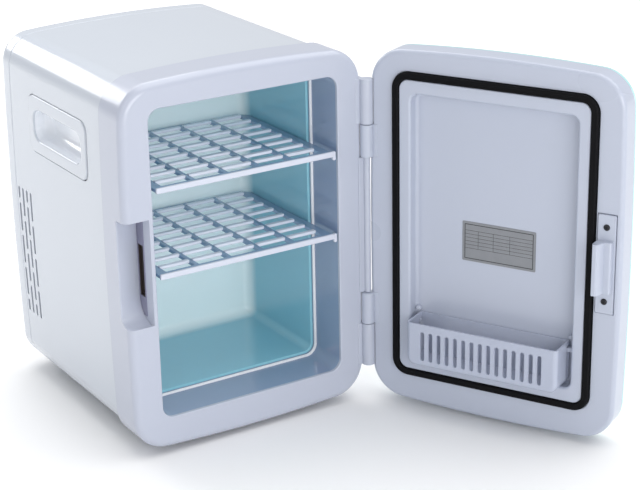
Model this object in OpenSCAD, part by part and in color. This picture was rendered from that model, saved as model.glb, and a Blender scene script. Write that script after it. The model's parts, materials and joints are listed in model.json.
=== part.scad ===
// Thermoelectric mini fridge: cabinet, hinged door, two sliding shelves and a lift-out door bin.
// Front faces -Y, +X is to the right seen from the front, +Z is up.
// The origin is on the floor under the middle of the cabinet.

/* [Cabinet] */
// Width across the front collar
body_w = 240; // [225:1:300]
// Height of the cabinet without its feet
body_h = 336; // [320:1:420]
// Depth of the cabinet without the door
body_d = 256; // [240:1:320]
// Corner radius of the outline seen from the front
corner_r = 28; // [20:1:36]
// How far the top and bottom edges bow out at mid-width
crown_top = 5; // [0:0.5:7]
// How far the side edges bow out at mid-height
crown_side = 3; // [0:0.5:5]
// Height of the rubber feet under the lowest point of the collar
foot_h = 4; // [3:0.5:8]
// Radius of each foot
foot_r = 10; // [8:1:14]
// Distance from a foot's centre to the side of the cabinet
foot_in = 48; // [30:1:60]
// Distance from the rear feet's centres to the back of the cabinet
foot_back = 38; // [38:1:60]
// Distance from the front feet's centres to the front of the cabinet
foot_front = 54; // [54:1:80]

/* [Collar and shell] */
// Depth of the front collar
collar_d = 40; // [36:1:50]
// Step from the collar in to the shell
collar_step = 3; // [3:0.5:5]
// Wall of the collar
collar_t = 2.6; // [2:0.1:3]
// Rounding where the bezel turns into the collar's sides
collar_edge = 7; // [4:1:9]
// Thickness of the bezel
bezel_t = 3; // [2:0.5:4]
// Wall of the outer shell
shell_t = 2.5; // [2:0.1:4]
// Depth of the rear cover
cover_d = 24; // [20:1:32]
// Rounding round the back of the rear cover
cover_edge = 12; // [6:1:16]

/* [Opening] */
// Bezel width at each side of the opening
bezel_side = 28; // [26:1:36]
// Bezel width above the opening
bezel_top = 25; // [22:1:34]
// Bezel width below the opening
bezel_bottom = 32; // [26:1:40]
// Corner radius of the opening
open_r = 11; // [8:1:16]
// Depth of the grey entry sleeve
sleeve_d = 46; // [40:1:56]
// Wall of the entry sleeve
sleeve_t = 2; // [1.5:0.1:2.2]
// Step from the entry sleeve in to the liner
liner_step = 4; // [3:0.5:6]
// Wall of the liner
liner_t = 1.6; // [1.2:0.1:2]
// Space behind the liner's back wall for insulation and machinery
machine_d = 98; // [92:1:110]

/* [Shelves] */
// Height of the lower shelf's top face above the floor
shelf_low_z = 169; // [150:1:180]
// Height of the upper shelf's top face above the floor
shelf_high_z = 246; // [230:1:260]
// Clearance from a shelf to the liner at each side
shelf_gap = 0.6; // [0.4:0.1:1.5]
// Thickness of a shelf's frame
shelf_t = 3.5; // [3:0.5:5]
// Columns of slats
shelf_cols = 5; // [3:1:7]
// Rows of slats
shelf_rows = 8; // [5:1:10]
// Width of a slat, front to back
slat_w = 6; // [4:0.5:8]
// Width of a rib between two columns
rib_w = 4.5; // [3:0.5:6]
// Frame width at each side of the slats
shelf_border = 9; // [6:1:14]
// Depth of the shelf's solid front border
shelf_front = 8; // [6:1:12]
// Height of the ledges that carry the shelves
ledge_h = 2.6; // [2:0.2:4]
// How far the ledges stand out from the liner
ledge_w = 3; // [2:0.2:4]

/* [Door] */
// Thickness of the door
door_t = 30; // [26:1:40]
// Thickness of the door's tinted front panel
front_t = 8; // [6:1:12]
// Gap between bezel and door when the door is shut
door_gap = 4; // [3:0.5:5]
// Wall of the door mouldings
door_wall = 2.5; // [2:0.1:3]
// Rounding round the door's inner face
door_edge = 4; // [3:0.5:6]
// Rounding round the door's front face
front_edge = 7; // [4:0.5:7.5]
// Angle that the door stands open
door_open = 118; // [90:1:150]
// Depth of the recess in the door's inner face
recess_d = 10; // [6:1:14]
// Border between the gasket and the recess
recess_border = 11; // [8:1:16]
// How far the border stands out past the inner face
plug_d = 2; // [1:0.5:3]
// Width of the gasket
gasket_w = 6.4; // [5:0.1:8]
// Depth of the groove that holds the gasket
groove_d = 2; // [1.5:0.1:3]
// Air left between gasket and bezel when the door is shut
gasket_air = 0.3; // [0.2:0.1:0.5]

/* [Hinge] */
// Outer radius of the hinge knuckles
knuckle_r = 6; // [5:0.5:7]
// Radius of the hinge pins
pin_r = 1.6; // [1.2:0.1:2]
// Radial running clearance of the door knuckles on their pins
pin_clear = 0.06; // [0.02:0.01:0.1]
// Length of a knuckle on the cabinet
knuckle_cab = 41; // [30:1:46]
// Length of a knuckle on the door
knuckle_door = 30; // [20:1:34]
// Distance from each end of the cabinet to its first knuckle
knuckle_in = 31.5; // [30:0.5:50]
// Gap between neighbouring knuckles
knuckle_gap = 0.5; // [0.3:0.1:1]
// Radius of the bead between the knuckles
bead_r = 3; // [2:0.5:4]

/* [Latch] */
// Lowest point of the finger notch above the bottom of the cabinet
notch_z = 121; // [100:1:130]
// Height of the finger notch
notch_h = 96; // [96:1:110]
// Width of the bezel lip between notch and opening
notch_lip = 5.3; // [4.5:0.1:6]
// Depth of the notch at its inner wall
notch_d = 22; // [18:1:24]
// Depth of the notch at the side of the cabinet
notch_side_d = 15; // [12:1:18]
// Length of the catch on the door
catch_len = 89; // [80:1:90]
// Width of the catch
catch_w = 16; // [12:1:18]
// Thickness of the catch's plate
catch_t = 2; // [1.5:0.1:2.5]
// How far the catch's ridge stands out from the plate
catch_out = 13; // [8:1:14]
// Length of the catch's ridge
catch_ridge = 46; // [36:1:48]

/* [Door bin] */
// Gap between the bin and the recess at each side
bin_side_gap = 5.3; // [5:0.1:12]
// Height of the bin
bin_h = 41; // [30:1:60]
// How far the bin reaches past the door's inner face
bin_out = 20.5; // [14:0.5:26]
// Height of the bin's bottom above the bottom of the recess
bin_lift = 0.6; // [0.4:0.1:4]
// Wall of the bin
bin_t = 1.8; // [1.4:0.1:2.5]
// Number of slots in the bin's front
bin_slots = 15; // [9:2:17]
// Width of a slot
bin_slot_w = 4; // [3:0.5:5]
// Radius of the bin's two lower corners
bin_r = 8; // [4:1:12]

/* [Handles] */
// Length of a handle cup's plate, front to back
cup_l = 119; // [90:1:125]
// Height of a handle cup's plate
cup_h = 53; // [45:1:60]
// Length of the finger pocket
pocket_l = 98; // [80:1:104]
// Height of the finger pocket
pocket_h = 29; // [24:1:34]
// Depth of the finger pocket
pocket_d = 17; // [14:1:19]
// Distance from the front of the cabinet to the plate
cup_y = 72; // [60:1:80]
// Height of the plate's lower edge above the floor
cup_z = 238; // [230:1:250]

/* [Vents] */
// Length of a full vent slot
vent_l = 28; // [20:1:32]
// Width of a vent slot
vent_w = 3; // [2:0.5:4]
// Gap between two slots in a column
vent_gap = 4.6; // [4:0.2:6]
// Distance between two columns of slots
vent_pitch = 8.7; // [7:0.1:9]
// Height of the vents' lower end above the floor
vent_z = 67; // [60:1:90]

/* [Cooling unit] */
// Side of the thermoelectric module
peltier_w = 40; // [30:1:50]
// Thickness of the thermoelectric module
peltier_t = 4; // [3:0.2:5]
// Side of the heat sink
sink_w = 100; // [80:1:120]
// Thickness of the heat sink's base
sink_base = 5; // [4:0.5:8]
// Length of the fins
fin_l = 18; // [12:1:22]
// Number of fins
fin_count = 15; // [9:1:17]
// Side of the fan
fan_w = 92; // [80:2:92]
// Thickness of the fan
fan_t = 25; // [15:1:26]
// Number of fan blades
fan_blades = 7; // [5:1:9]
// Air between a blade tip and the fan's wall
fan_air = 1; // [0.6:0.1:2]

/* [Hidden] */
$fn = 48;
eps = 0.01;
through = 40;

// Reference planes
front_y = -body_d / 2;
back_y = body_d / 2;
mid_z = foot_h + body_h / 2;
top_z = foot_h + body_h;

// Shell
shell_w = body_w - 2 * collar_step;
shell_h = body_h - 2 * collar_step;
shell_r = corner_r - collar_step;
cover_y = back_y - cover_d;
shell_front_y = front_y + collar_d - 12;
inner_w = shell_w - 2 * shell_t;
inner_h = shell_h - 2 * shell_t;
inner_r = shell_r - shell_t;

// Opening and cavity
open_w = body_w - 2 * bezel_side;
open_z0 = foot_h + bezel_bottom;
open_z1 = top_z - bezel_top;
open_h = open_z1 - open_z0;
open_mid = (open_z0 + open_z1) / 2;
liner_w = open_w - 2 * liner_step;
liner_h = open_h - 2 * liner_step;
liner_r = open_r - 1;
liner_y0 = front_y + sleeve_d;
liner_y1 = back_y - machine_d;
flange_t = 2;

// Insulation and cooling unit, from the liner backward
foam_t = 16;
fan_stand = 0.5;
foam_y1 = liner_y1 + liner_t + foam_t;
cool_z = mid_z + 18;
sink_y = foam_y1 + peltier_t;
fan_y = sink_y + sink_base + fin_l + fan_stand;
fan_hole_r = fan_w / 2 - 3;
hub_r = 18;
fan_bolt = fan_w / 2 - 5;
module_bolt = peltier_w / 2 + 10;
module_screw_r = 1.5;
fan_screw_r = 1.5;

// Hinge
hinge_x = body_w / 2 + 1;
hinge_y = front_y - door_gap / 2;
relief_r = knuckle_r + 0.5;
bead_relief_r = bead_r + 0.6;
cab_low = foot_h + knuckle_in;
door_low = cab_low + knuckle_cab + knuckle_gap;
bead_low = door_low + knuckle_door + knuckle_gap;
door_high = top_z - knuckle_in - knuckle_cab - knuckle_gap - knuckle_door;
cab_high = top_z - knuckle_in - knuckle_cab;
bead_high = door_high - knuckle_gap;

// Door, drawn shut
door_y1 = front_y - door_gap;
door_y0 = door_y1 - door_t;
seam_y = door_y0 + front_t;
gasket_mid_w = open_w + 0.6;
gasket_mid_h = open_h + 0.6;
gasket_mid_r = open_r + 1;
plug_w = gasket_mid_w - gasket_w - 0.6;
plug_h = gasket_mid_h - gasket_w - 0.6;
plug_r = gasket_mid_r - gasket_w / 2;
recess_w = plug_w - 2 * recess_border;
recess_h = plug_h - 2 * recess_border - 3;
recess_r = 7;
recess_y = door_y1 - recess_d;
recess_z0 = open_mid - recess_h / 2;
label_x = [-38, 32];
label_z = [mid_z - 22, mid_z + 15];
label_t = 0.4;

// Latch
notch_x = -open_w / 2 - notch_lip;
notch_z0 = foot_h + notch_z;
notch_z1 = notch_z0 + notch_h;
catch_x1 = notch_x - 0.7;
catch_x0 = catch_x1 - catch_w;
catch_z0 = notch_z0 + (notch_h - catch_len) / 2;
slot_up = 23;
slot_l = 47;
slot_in = 11;
slot_z0 = notch_z0 + slot_up;
slot_z1 = slot_z0 + slot_l;
slot_y0 = front_y + slot_in;
slot_y1 = front_y + notch_d - 1;
catch_mid_z = (slot_z0 + slot_z1) / 2;
catch_screw_in = 11;
catch_screw_z = [catch_z0 + catch_screw_in, catch_z0 + catch_len - catch_screw_in];
catch_step = 4.5;

// Bin
bin_w = recess_w - 2 * bin_side_gap;
bin_margin = 16;
bin_y0 = recess_y + 0.3;
bin_y1 = door_y1 + bin_out;
bin_z0 = recess_z0 + bin_lift;
boss_r = 2.2;
boss_z = bin_z0 + bin_h - 7;
nub_r = 2.2;
nub_x = bin_w / 2 + nub_r + 0.5;
nub_z = bin_z0 + bin_h + 3;

// Handles
cup_mid_y = front_y + cup_y + cup_l / 2;
cup_mid_z = cup_z + cup_h / 2;
cup_face = shell_w / 2 + 1;
cup_t = 2;
cup_r = 10;
cup_seam = 0.8;
grip_rise = 6;

// Rear fittings
rear_row_z = foot_h + 46;
mains_x = 45;
car_x = 5;
switch_x = -40;
inlet_depth = 12;
inlet_rim = 1.5;
board_y = cover_y - 12;
rocker_y = back_y - 1;
board_t = 1.6;
board_w = 140;
board_h = 55;
board_z = foot_h + 20;
cover_boss = [inner_w / 2 - inner_r - 2, inner_h / 2 - inner_r - 2];
cover_screw_r = 1.5;
cover_post_r = 5;
boss_len = 24;
boss_in = inner_r + 2;

white = "whitesmoke";

// ---------- outlines ----------

// A rounded rectangle whose four sides bow outward, as a list of points.
function bow(p, w, h) = [
    p[0] + crown_side * p[0] / (w / 2) * (1 - pow(2 * p[1] / h, 2)),
    p[1] + crown_top * p[1] / (h / 2) * (1 - pow(2 * p[0] / w, 2))
];

function bowed_outline(w, h, r, steps = 8, cuts = 4) =
    let (a = w / 2 - crown_side - r, b = h / 2 - crown_top - r)
    [for (q = [0:3])
        let (
            sx = (q == 0 || q == 3) ? 1 : -1,
            sy = (q < 2) ? 1 : -1,
            nx = (q == 0 || q == 1) ? -sx : sx,
            here = [sx * a + r * cos(90 * q + 90), sy * b + r * sin(90 * q + 90)],
            next_sx = (q == 2 || q == 3) ? 1 : -1,
            next_sy = (q == 0 || q == 3) ? 1 : -1,
            there = [next_sx * a + r * cos(90 * q + 90), next_sy * b + r * sin(90 * q + 90)]
        )
        for (i = [0:steps + cuts - 1])
            bow(i <= steps
                ? [sx * a + r * cos(90 * q + 90 * i / steps), sy * b + r * sin(90 * q + 90 * i / steps)]
                : here + (there - here) * (i - steps) / cuts, w, h)
    ];

module round_rect(w, h, r) {
    square([w - 2 * r, h], center = true);
    square([w, h - 2 * r], center = true);
    for (x = [-1, 1], y = [-1, 1]) translate([x * (w / 2 - r), y * (h / 2 - r)]) circle(r);
}

module stadium(l, w) {
    square([w, l - w], center = true);
    for (y = [-1, 1]) translate([0, y * (l - w) / 2]) circle(w / 2, $fn = 24);
}

// Stands a 2-D shape up in the XZ plane between two depths.
module slab(y0, y1, x = 0, z = 0) {
    translate([x, y1, z]) rotate([90, 0, 0]) linear_extrude(y1 - y0) children();
}

module bowed_slab(w, h, r, y0, y1) {
    slab(y0, y1, 0, mid_z) polygon(bowed_outline(w, h, r));
}

// A closed solid through a list of equal rings of points.
module loft(rings) {
    n = len(rings[0]);
    m = len(rings);
    polyhedron(
        points = [for (ring = rings) for (p = ring) p],
        faces = concat(
            [[for (i = [0:n - 1]) n - 1 - i]],
            [[for (i = [0:n - 1]) (m - 1) * n + i]],
            [for (k = [0:m - 2], i = [0:n - 1])
                [k * n + i, (k + 1) * n + (i + 1) % n, (k + 1) * n + i]],
            [for (k = [0:m - 2], i = [0:n - 1])
                [k * n + i, k * n + (i + 1) % n, (k + 1) * n + (i + 1) % n]]
        )
    );
}

// A bowed block with its front edge rounded by e0 and its back edge by e1.
module bowed_block(w, h, r, y0, y1, e0, e1, steps = 4) {
    turn = [for (i = [0:steps]) 90 * i / steps];
    head = e0 > 0 ? [for (a = turn) [y0 + e0 * (1 - cos(a)), e0 * (1 - sin(a))]] : [[y0, 0]];
    tail = e1 > 0 ? [for (a = turn) [y1 - e1 * (1 - sin(a)), e1 * (1 - cos(a))]] : [[y1, 0]];
    loft([for (s = concat(head, tail))
        [for (p = bowed_outline(w - 2 * s[1], h - 2 * s[1], max(r - s[1], 2))) [p[0], s[0], mid_z + p[1]]]]);
}

module along_x(x0, x1, y, z, r) {
    translate([x0, y, z]) rotate([0, 90, 0]) cylinder(h = x1 - x0, r = r);
}

module along_y(y0, y1, x, z, r) {
    translate([x, y1, z]) rotate([90, 0, 0]) cylinder(h = y1 - y0, r = r);
}

module box(low, high) {
    translate(low) cube(high - low);
}

// Puts a piece that is drawn with the door shut where the open door holds it.
module on_door() {
    translate([hinge_x, hinge_y, 0]) rotate([0, 0, door_open]) translate([-hinge_x, -hinge_y, 0]) children();
}

module hinge_cylinder(z0, h, r) {
    translate([hinge_x, hinge_y, z0]) cylinder(h = h, r = r);
}

// ---------- cabinet ----------

module vent_slots(side) {
    run = 4 * vent_l + 3 * vent_gap;
    short_l = (run - 3 * vent_l - 4 * vent_gap) / 2;
    for (c = [0:3]) {
        y = cover_y - 5 - vent_pitch * c;
        lengths = c % 2 == 0 ? [short_l, vent_l, vent_l, vent_l, short_l] : [vent_l, vent_l, vent_l, vent_l];
        for (k = [0:len(lengths) - 1]) {
            below = k == 0 ? 0 : lengths[0] + vent_gap + (k - 1) * (vent_l + vent_gap);
            translate([side * shell_w / 2, y, vent_z + below + lengths[k] / 2])
                rotate([90, 0, 90]) translate([0, 0, -through / 4]) linear_extrude(through / 2)
                    stadium(lengths[k], vent_w);
        }
    }
}

module side_window(side, l, h, r, x0, x1, z = cup_mid_z) {
    translate([side > 0 ? x0 : -x1, cup_mid_y, z]) rotate([90, 0, 90]) linear_extrude(x1 - x0)
        round_rect(l, h, r);
}

module foot_places() {
    for (x = [-1, 1], y = [front_y + foot_front, back_y - foot_back])
        translate([x * (body_w / 2 - foot_in), y, 0]) children();
}

module outer_shell() {
    pad_z = foot_h + collar_step + 1;
    color(white) {
        difference() {
            union() {
                bowed_slab(shell_w, shell_h, shell_r, shell_front_y, cover_y);
                foot_places() translate([0, 0, pad_z]) cylinder(h = crown_top + shell_t, r = foot_r + 2);
            }
            difference() {
                bowed_slab(inner_w, inner_h, inner_r, shell_front_y - 1, cover_y + 1);
                foot_places() translate([0, 0, pad_z]) cylinder(h = crown_top + shell_t, r = foot_r + 2);
            }
            for (side = [-1, 1]) {
                vent_slots(side);
                side_window(side, cup_l + cup_seam, cup_h + cup_seam, cup_r,
                    shell_w / 2 - 12, shell_w / 2 + 12);
            }
        }
        difference() {
            cover_screw_places() {
                along_y(cover_y - boss_len, cover_y, 0, 0, cover_post_r);
                rotate([0, 45, 0]) box([3, cover_y - boss_len, -1.2], [boss_in, cover_y - 2, 1.2]);
            }
            cover_screw_places() along_y(cover_y - boss_len, cover_y + 1, 0, 0, cover_screw_r);
        }
    }
}

// Places a child at the four cover screws, turned so that its +X points at the nearest corner when
// the child is turned a further 45 degrees.
module cover_screw_places() {
    for (q = [0:3])
        translate([
            (q == 0 || q == 3 ? 1 : -1) * cover_boss[0], 0,
            mid_z + (q < 2 ? 1 : -1) * (cover_boss[1] - crown_top)
        ]) rotate([0, -90 * q - 90, 0]) children();
}

module notch_plan() {
    polygon([
        [-body_w / 2 - 5, front_y - 5],
        [notch_x, front_y - 5],
        [notch_x, front_y + notch_d],
        [-body_w / 2 + 2, front_y + notch_side_d],
        [-body_w / 2 - 5, front_y + notch_side_d]
    ]);
}

// The finger notch: its floor curves up to the front at its lower end.
module notch_space() {
    translate([0, 0, notch_z0 + notch_d]) linear_extrude(notch_h - notch_d) notch_plan();
    intersection() {
        translate([0, 0, notch_z0]) linear_extrude(notch_d + eps) notch_plan();
        along_x(-body_w / 2 - 6, notch_x + 1, front_y, notch_z0 + notch_d, notch_d);
    }
}

module collar_block() {
    bowed_block(body_w, body_h, corner_r, front_y, front_y + collar_d, collar_edge, 1);
}

module front_collar() {
    wall = 2.4;
    color(white) difference() {
        union() {
            difference() {
                collar_block();
                bowed_slab(body_w - 2 * collar_t, body_h - 2 * collar_t, corner_r - collar_t,
                    front_y + collar_edge, front_y + collar_d + 1);
                bowed_slab(body_w - 2 * collar_edge, body_h - 2 * collar_edge, corner_r - collar_edge,
                    front_y + bezel_t, front_y + collar_edge + 1);
            }
            intersection() {
                collar_block();
                box([-body_w / 2 - 1, front_y, notch_z0 - wall],
                    [notch_x + wall, front_y + notch_d + wall, notch_z1 + wall]);
            }
            hinge_cylinder(cab_low, knuckle_cab, knuckle_r);
            hinge_cylinder(cab_high, knuckle_cab, knuckle_r);
            hinge_cylinder(bead_low, bead_high - bead_low, bead_r);
            for (z = [cab_low, cab_high])
                box([hinge_x - 10, hinge_y + 1, z], [hinge_x, front_y + collar_edge + 1, z + knuckle_cab]);
            box([hinge_x - 8, hinge_y + 0.6, bead_low],
                [hinge_x, front_y + collar_edge + 1, bead_high]);
        }
        slab(front_y - 1, front_y + bezel_t + 1, 0, open_mid) round_rect(open_w, open_h, open_r);
        notch_space();
        box([notch_x - 1, slot_y0, slot_z0], [notch_x + wall + 1, slot_y1, slot_z1]);
        for (z = [door_low, door_high])
            hinge_cylinder(z - knuckle_gap, knuckle_door + 2 * knuckle_gap, relief_r);
        hinge_cylinder(cab_low - 1, knuckle_cab + 2, pin_r);
        hinge_cylinder(cab_high - 1, knuckle_cab + 2, pin_r);
    }
}

module latch_pocket() {
    color("#181a1c") difference() {
        box([notch_x, slot_y0, slot_z0], [notch_x + 3, slot_y1, slot_z1]);
        box([notch_x - 1, slot_y0 + 1, slot_z0 + 1], [notch_x + 2, slot_y1 - 1, slot_z1 - 1]);
    }
}

module entry_sleeve() {
    color("#8f9db5") difference() {
        slab(front_y + bezel_t, liner_y0, 0, open_mid)
            round_rect(open_w + 2 * sleeve_t, open_h + 2 * sleeve_t, open_r + sleeve_t);
        slab(front_y, liner_y0 + 1, 0, open_mid) round_rect(open_w, open_h, open_r);
    }
}

module liner() {
    color("#8fc4c9") {
        difference() {
            union() {
                slab(liner_y0, liner_y0 + flange_t, 0, open_mid)
                    round_rect(open_w + 2 * sleeve_t, open_h + 2 * sleeve_t, open_r + sleeve_t);
                slab(liner_y0, liner_y1 + liner_t, 0, open_mid)
                    round_rect(liner_w + 2 * liner_t, liner_h + 2 * liner_t, liner_r + liner_t);
            }
            slab(liner_y0 - 1, liner_y1, 0, open_mid) round_rect(liner_w, liner_h, liner_r);
        }
        for (z = [shelf_low_z, shelf_high_z], side = [-1, 1]) {
            x = side * (liner_w / 2 - ledge_w / 2 + 0.5);
            box([x - ledge_w / 2 - 0.5, liner_y0 + 2, z - shelf_t - 0.4 - ledge_h],
                [x + ledge_w / 2 + 0.5, liner_y1 + 0.5, z - shelf_t - 0.4]);
        }
    }
}

module cup_outer(side, grow = 0) {
    side_window(side, pocket_l + 2 * cup_t + 2 * grow, pocket_h + grip_rise + 2 * cup_t + 2 * grow, 6,
        cup_face - pocket_d - cup_t - grow, cup_face - 1, cup_mid_z + grip_rise / 2);
}

module foam_insulation() {
    color("#e6dcb8") difference() {
        bowed_slab(inner_w, inner_h, inner_r, liner_y0 + flange_t, foam_y1);
        slab(liner_y0, liner_y1 + liner_t, 0, open_mid)
            round_rect(liner_w + 2 * liner_t, liner_h + 2 * liner_t, liner_r + liner_t);
        for (side = [-1, 1]) {
            cup_outer(side, 0.5);
            side_window(side, cup_l + 7, cup_h + 7, cup_r + 3, cup_face - 8.5, cup_face + 8);
            box([side * (shell_w / 2) - 8, cover_y - 5 - 4 * vent_pitch, vent_z - 5],
                [side * (shell_w / 2) + 8, cover_y, vent_z + 5 * (vent_l + vent_gap)]);
        }
        foot_places() cylinder(h = foot_h + collar_step + crown_top + shell_t + 3, r = foot_r + 3);
        box([-peltier_w / 2 - 0.5, liner_y1, cool_z - peltier_w / 2 - 0.5],
            [peltier_w / 2 + 0.5, foam_y1 + 1, cool_z + peltier_w / 2 + 0.5]);
        module_screw_places() along_y(liner_y1 + liner_t + 2, foam_y1 + 1, 0, 0, module_screw_r + 0.2);
    }
}

module handle_cup(side) {
    color(white) difference() {
        union() {
            side_window(side, cup_l + 6, cup_h + 6, cup_r + 3, cup_face - 8, cup_face - 5.8);
            side_window(side, cup_l, cup_h, cup_r, cup_face - 6, cup_face);
            cup_outer(side);
        }
        side_window(side, pocket_l, pocket_h, 5, cup_face - pocket_d, cup_face + 2);
        side_window(side, pocket_l, pocket_h + grip_rise, 5, cup_face - pocket_d, cup_face - 3,
            cup_mid_z + grip_rise / 2);
    }
}

module handle_cup_left() {
    handle_cup(-1);
}

module handle_cup_right() {
    handle_cup(1);
}

module feet() {
    color("#3a3c40") foot_places() {
        cylinder(h = foot_h + collar_step + 1, r = foot_r);
    }
}

module hinge_pin(z0, z1) {
    color("silver") hinge_cylinder(z0, z1 - z0, pin_r);
}

module hinge_pin_upper() {
    hinge_pin(door_high + 1, cab_high + knuckle_cab - 1);
}

module hinge_pin_lower() {
    hinge_pin(cab_low + 1, door_low + knuckle_door - 1);
}

// ---------- cooling unit ----------

module module_screw_places() {
    for (x = [-1, 1]) translate([x * module_bolt, 0, cool_z]) children();
}

module cold_block() {
    color("silver") box([-peltier_w / 2, liner_y1 + liner_t, cool_z - peltier_w / 2],
        [peltier_w / 2, foam_y1, cool_z + peltier_w / 2]);
}

module thermoelectric_module() {
    color("white") box([-peltier_w / 2, foam_y1, cool_z - peltier_w / 2],
        [peltier_w / 2, sink_y, cool_z + peltier_w / 2]);
}

module heat_sink() {
    fin_t = 1.4;
    pitch = (sink_w - fin_t) / (fin_count - 1);
    color("#b9bec4") difference() {
        union() {
            box([-sink_w / 2, sink_y, cool_z - sink_w / 2],
                [sink_w / 2, sink_y + sink_base, cool_z + sink_w / 2]);
            for (k = [0:fin_count - 1])
                translate([-sink_w / 2 + k * pitch, sink_y + sink_base - 0.5, cool_z - sink_w / 2])
                    cube([fin_t, fin_l + 0.5, sink_w]);
        }
        module_screw_places() along_y(sink_y - 1, sink_y + sink_base + 1, 0, 0, module_screw_r);
        module_screw_places() along_y(sink_y + sink_base, fan_y, 0, 0, 3.6);
        fan_corner_places() along_y(fan_y - 6, fan_y, 0, 0, fan_screw_r);
    }
}

module module_screws() {
    color("dimgray") module_screw_places() {
        along_y(liner_y1 + liner_t + 3, sink_y + sink_base, 0, 0, module_screw_r);
        along_y(sink_y + sink_base, sink_y + sink_base + 2.2, 0, 0, 3);
    }
}

module fan_corner_places() {
    for (x = [-1, 1], z = [-1, 1]) translate([x * fan_bolt, 0, cool_z + z * fan_bolt]) children();
}

module fan_frame() {
    spoke_w = 5;
    color("#24262a") {
        difference() {
            slab(fan_y, fan_y + fan_t, 0, cool_z) round_rect(fan_w, fan_w, 4);
            along_y(fan_y - 1, fan_y + fan_t + 1, 0, cool_z, fan_hole_r);
            fan_corner_places() along_y(fan_y - 1, fan_y + fan_t + 1, 0, 0, fan_screw_r);
        }
        difference() {
            for (a = [0, 90]) translate([0, 0, cool_z]) rotate([0, a + 45, 0])
                box([-fan_hole_r - 1, fan_y + fan_t - 3, -spoke_w / 2],
                    [fan_hole_r + 1, fan_y + fan_t, spoke_w / 2]);
            along_y(fan_y, fan_y + fan_t + 1, 0, cool_z, hub_r - 2);
        }
        along_y(fan_y + fan_t - 3, fan_y + fan_t, 0, cool_z, hub_r - 1);
        along_y(fan_y + 6, fan_y + fan_t - 2, 0, cool_z, 3);
    }
}

module fan_screws() {
    color("dimgray") fan_corner_places() {
        along_y(fan_y - 3, fan_y + fan_t, 0, 0, fan_screw_r);
        along_y(fan_y + fan_t, fan_y + fan_t + 2, 0, 0, 3);
    }
}

module fan_rotor() {
    tip = fan_hole_r - fan_air;
    depth = fan_t - 8;
    color("#1b1c1f") {
        difference() {
            along_y(fan_y + 2, fan_y + 2 + depth, 0, cool_z, hub_r);
            along_y(fan_y + 4, fan_y + 3 + depth, 0, cool_z, 3.05);
        }
        intersection() {
            along_y(fan_y + 1, fan_y + 3 + depth, 0, cool_z, tip);
            for (k = [0:fan_blades - 1])
                translate([0, fan_y + 2 + depth / 2, cool_z]) rotate([0, k * 360 / fan_blades, 0])
                    translate([hub_r - 2, -0.9, -10]) rotate([40, 0, 0]) cube([2 * (tip - hub_r), 1.8, 20]);
        }
    }
}

module board_posts() {
    for (x = [-1, 1], z = [5, board_h - 5]) translate([x * (board_w / 2 - 5), 0, board_z + z]) children();
}

module power_board() {
    color("#2d6a3c") box([-board_w / 2, board_y, board_z],
        [board_w / 2, board_y + board_t, board_z + board_h]);
    color("goldenrod") box([-62, board_y - 26, foot_h + 28], [-28, board_y, foot_h + 62]);
    color("black") for (x = [-12, 10, 32]) along_y(board_y - 22, board_y, x, foot_h + 45, 7);
    color("gray") box([46, board_y - 18, foot_h + 28], [60, board_y, foot_h + 66]);
}

// ---------- rear cover and its fittings ----------

module grille_cuts() {
    ring_w = 4;
    ring_step = 8;
    rings = floor((fan_hole_r - 10) / ring_step);
    difference() {
        for (k = [0:rings - 1]) difference() {
            along_y(back_y - 6, back_y + 1, 0, cool_z, 12 + k * ring_step + ring_w);
            along_y(back_y - 7, back_y + 2, 0, cool_z, 12 + k * ring_step);
        }
        for (a = [0:45:135]) translate([0, 0, cool_z]) rotate([0, a, 0])
            box([-fan_w, back_y - 8, -1.6], [fan_w, back_y + 3, 1.6]);
    }
}

module rear_cover() {
    color(white) difference() {
        union() {
            difference() {
                bowed_block(shell_w, shell_h, shell_r, cover_y, back_y, 0, cover_edge);
                bowed_block(inner_w, inner_h, inner_r, cover_y - 1, back_y - shell_t,
                    0, cover_edge - shell_t);
            }
            cover_screw_places() along_y(cover_y, back_y - 1, 0, 0, cover_post_r);
            board_posts() along_y(board_y + board_t, back_y - 1, 0, 0, 3);
        }
        grille_cuts();
        slab(back_y - 6, back_y + 1, mains_x, rear_row_z) round_rect(28.4, 20.4, 3);
        along_y(back_y - 6, back_y + 1, car_x, rear_row_z, 9.2);
        slab(back_y - 6, back_y + 1, switch_x, rear_row_z) round_rect(19.4, 13.4, 1);
        cover_screw_places() along_y(cover_y - 1, back_y + 1, 0, 0, cover_screw_r + 0.2);
    }
}

module mains_inlet() {
    color("#202225") difference() {
        union() {
            slab(back_y - inlet_depth - 3, back_y, mains_x, rear_row_z) round_rect(28, 20, 3);
            slab(back_y, back_y + inlet_rim, mains_x, rear_row_z) round_rect(33, 25, 4);
        }
        slab(back_y - inlet_depth, back_y + 2, mains_x, rear_row_z) round_rect(19, 10, 4.9);
    }
    color("silver") for (x = [-1, 1])
        along_y(back_y - inlet_depth, back_y - 3, mains_x + x * 4.3, rear_row_z, 1.2);
}

module car_inlet() {
    color("#202225") difference() {
        union() {
            along_y(back_y - inlet_depth - 3, back_y, car_x, rear_row_z, 9);
            along_y(back_y, back_y + inlet_rim, car_x, rear_row_z, 12);
        }
        along_y(back_y - inlet_depth, back_y + 2, car_x, rear_row_z, 6.5);
    }
    color("silver") for (x = [-1, 1])
        box([car_x + x * 2.6 - 0.5, back_y - inlet_depth, rear_row_z - 1.5],
            [car_x + x * 2.6 + 0.5, back_y - 3, rear_row_z + 1.5]);
}

module switch_housing() {
    color("#202225") difference() {
        union() {
            slab(back_y - 14, back_y, switch_x, rear_row_z) round_rect(19, 13, 1);
            slab(back_y, back_y + inlet_rim, switch_x, rear_row_z) round_rect(23, 17, 2);
        }
        slab(back_y - 12, back_y + 2, switch_x, rear_row_z) square([16, 10], center = true);
    }
}

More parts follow.
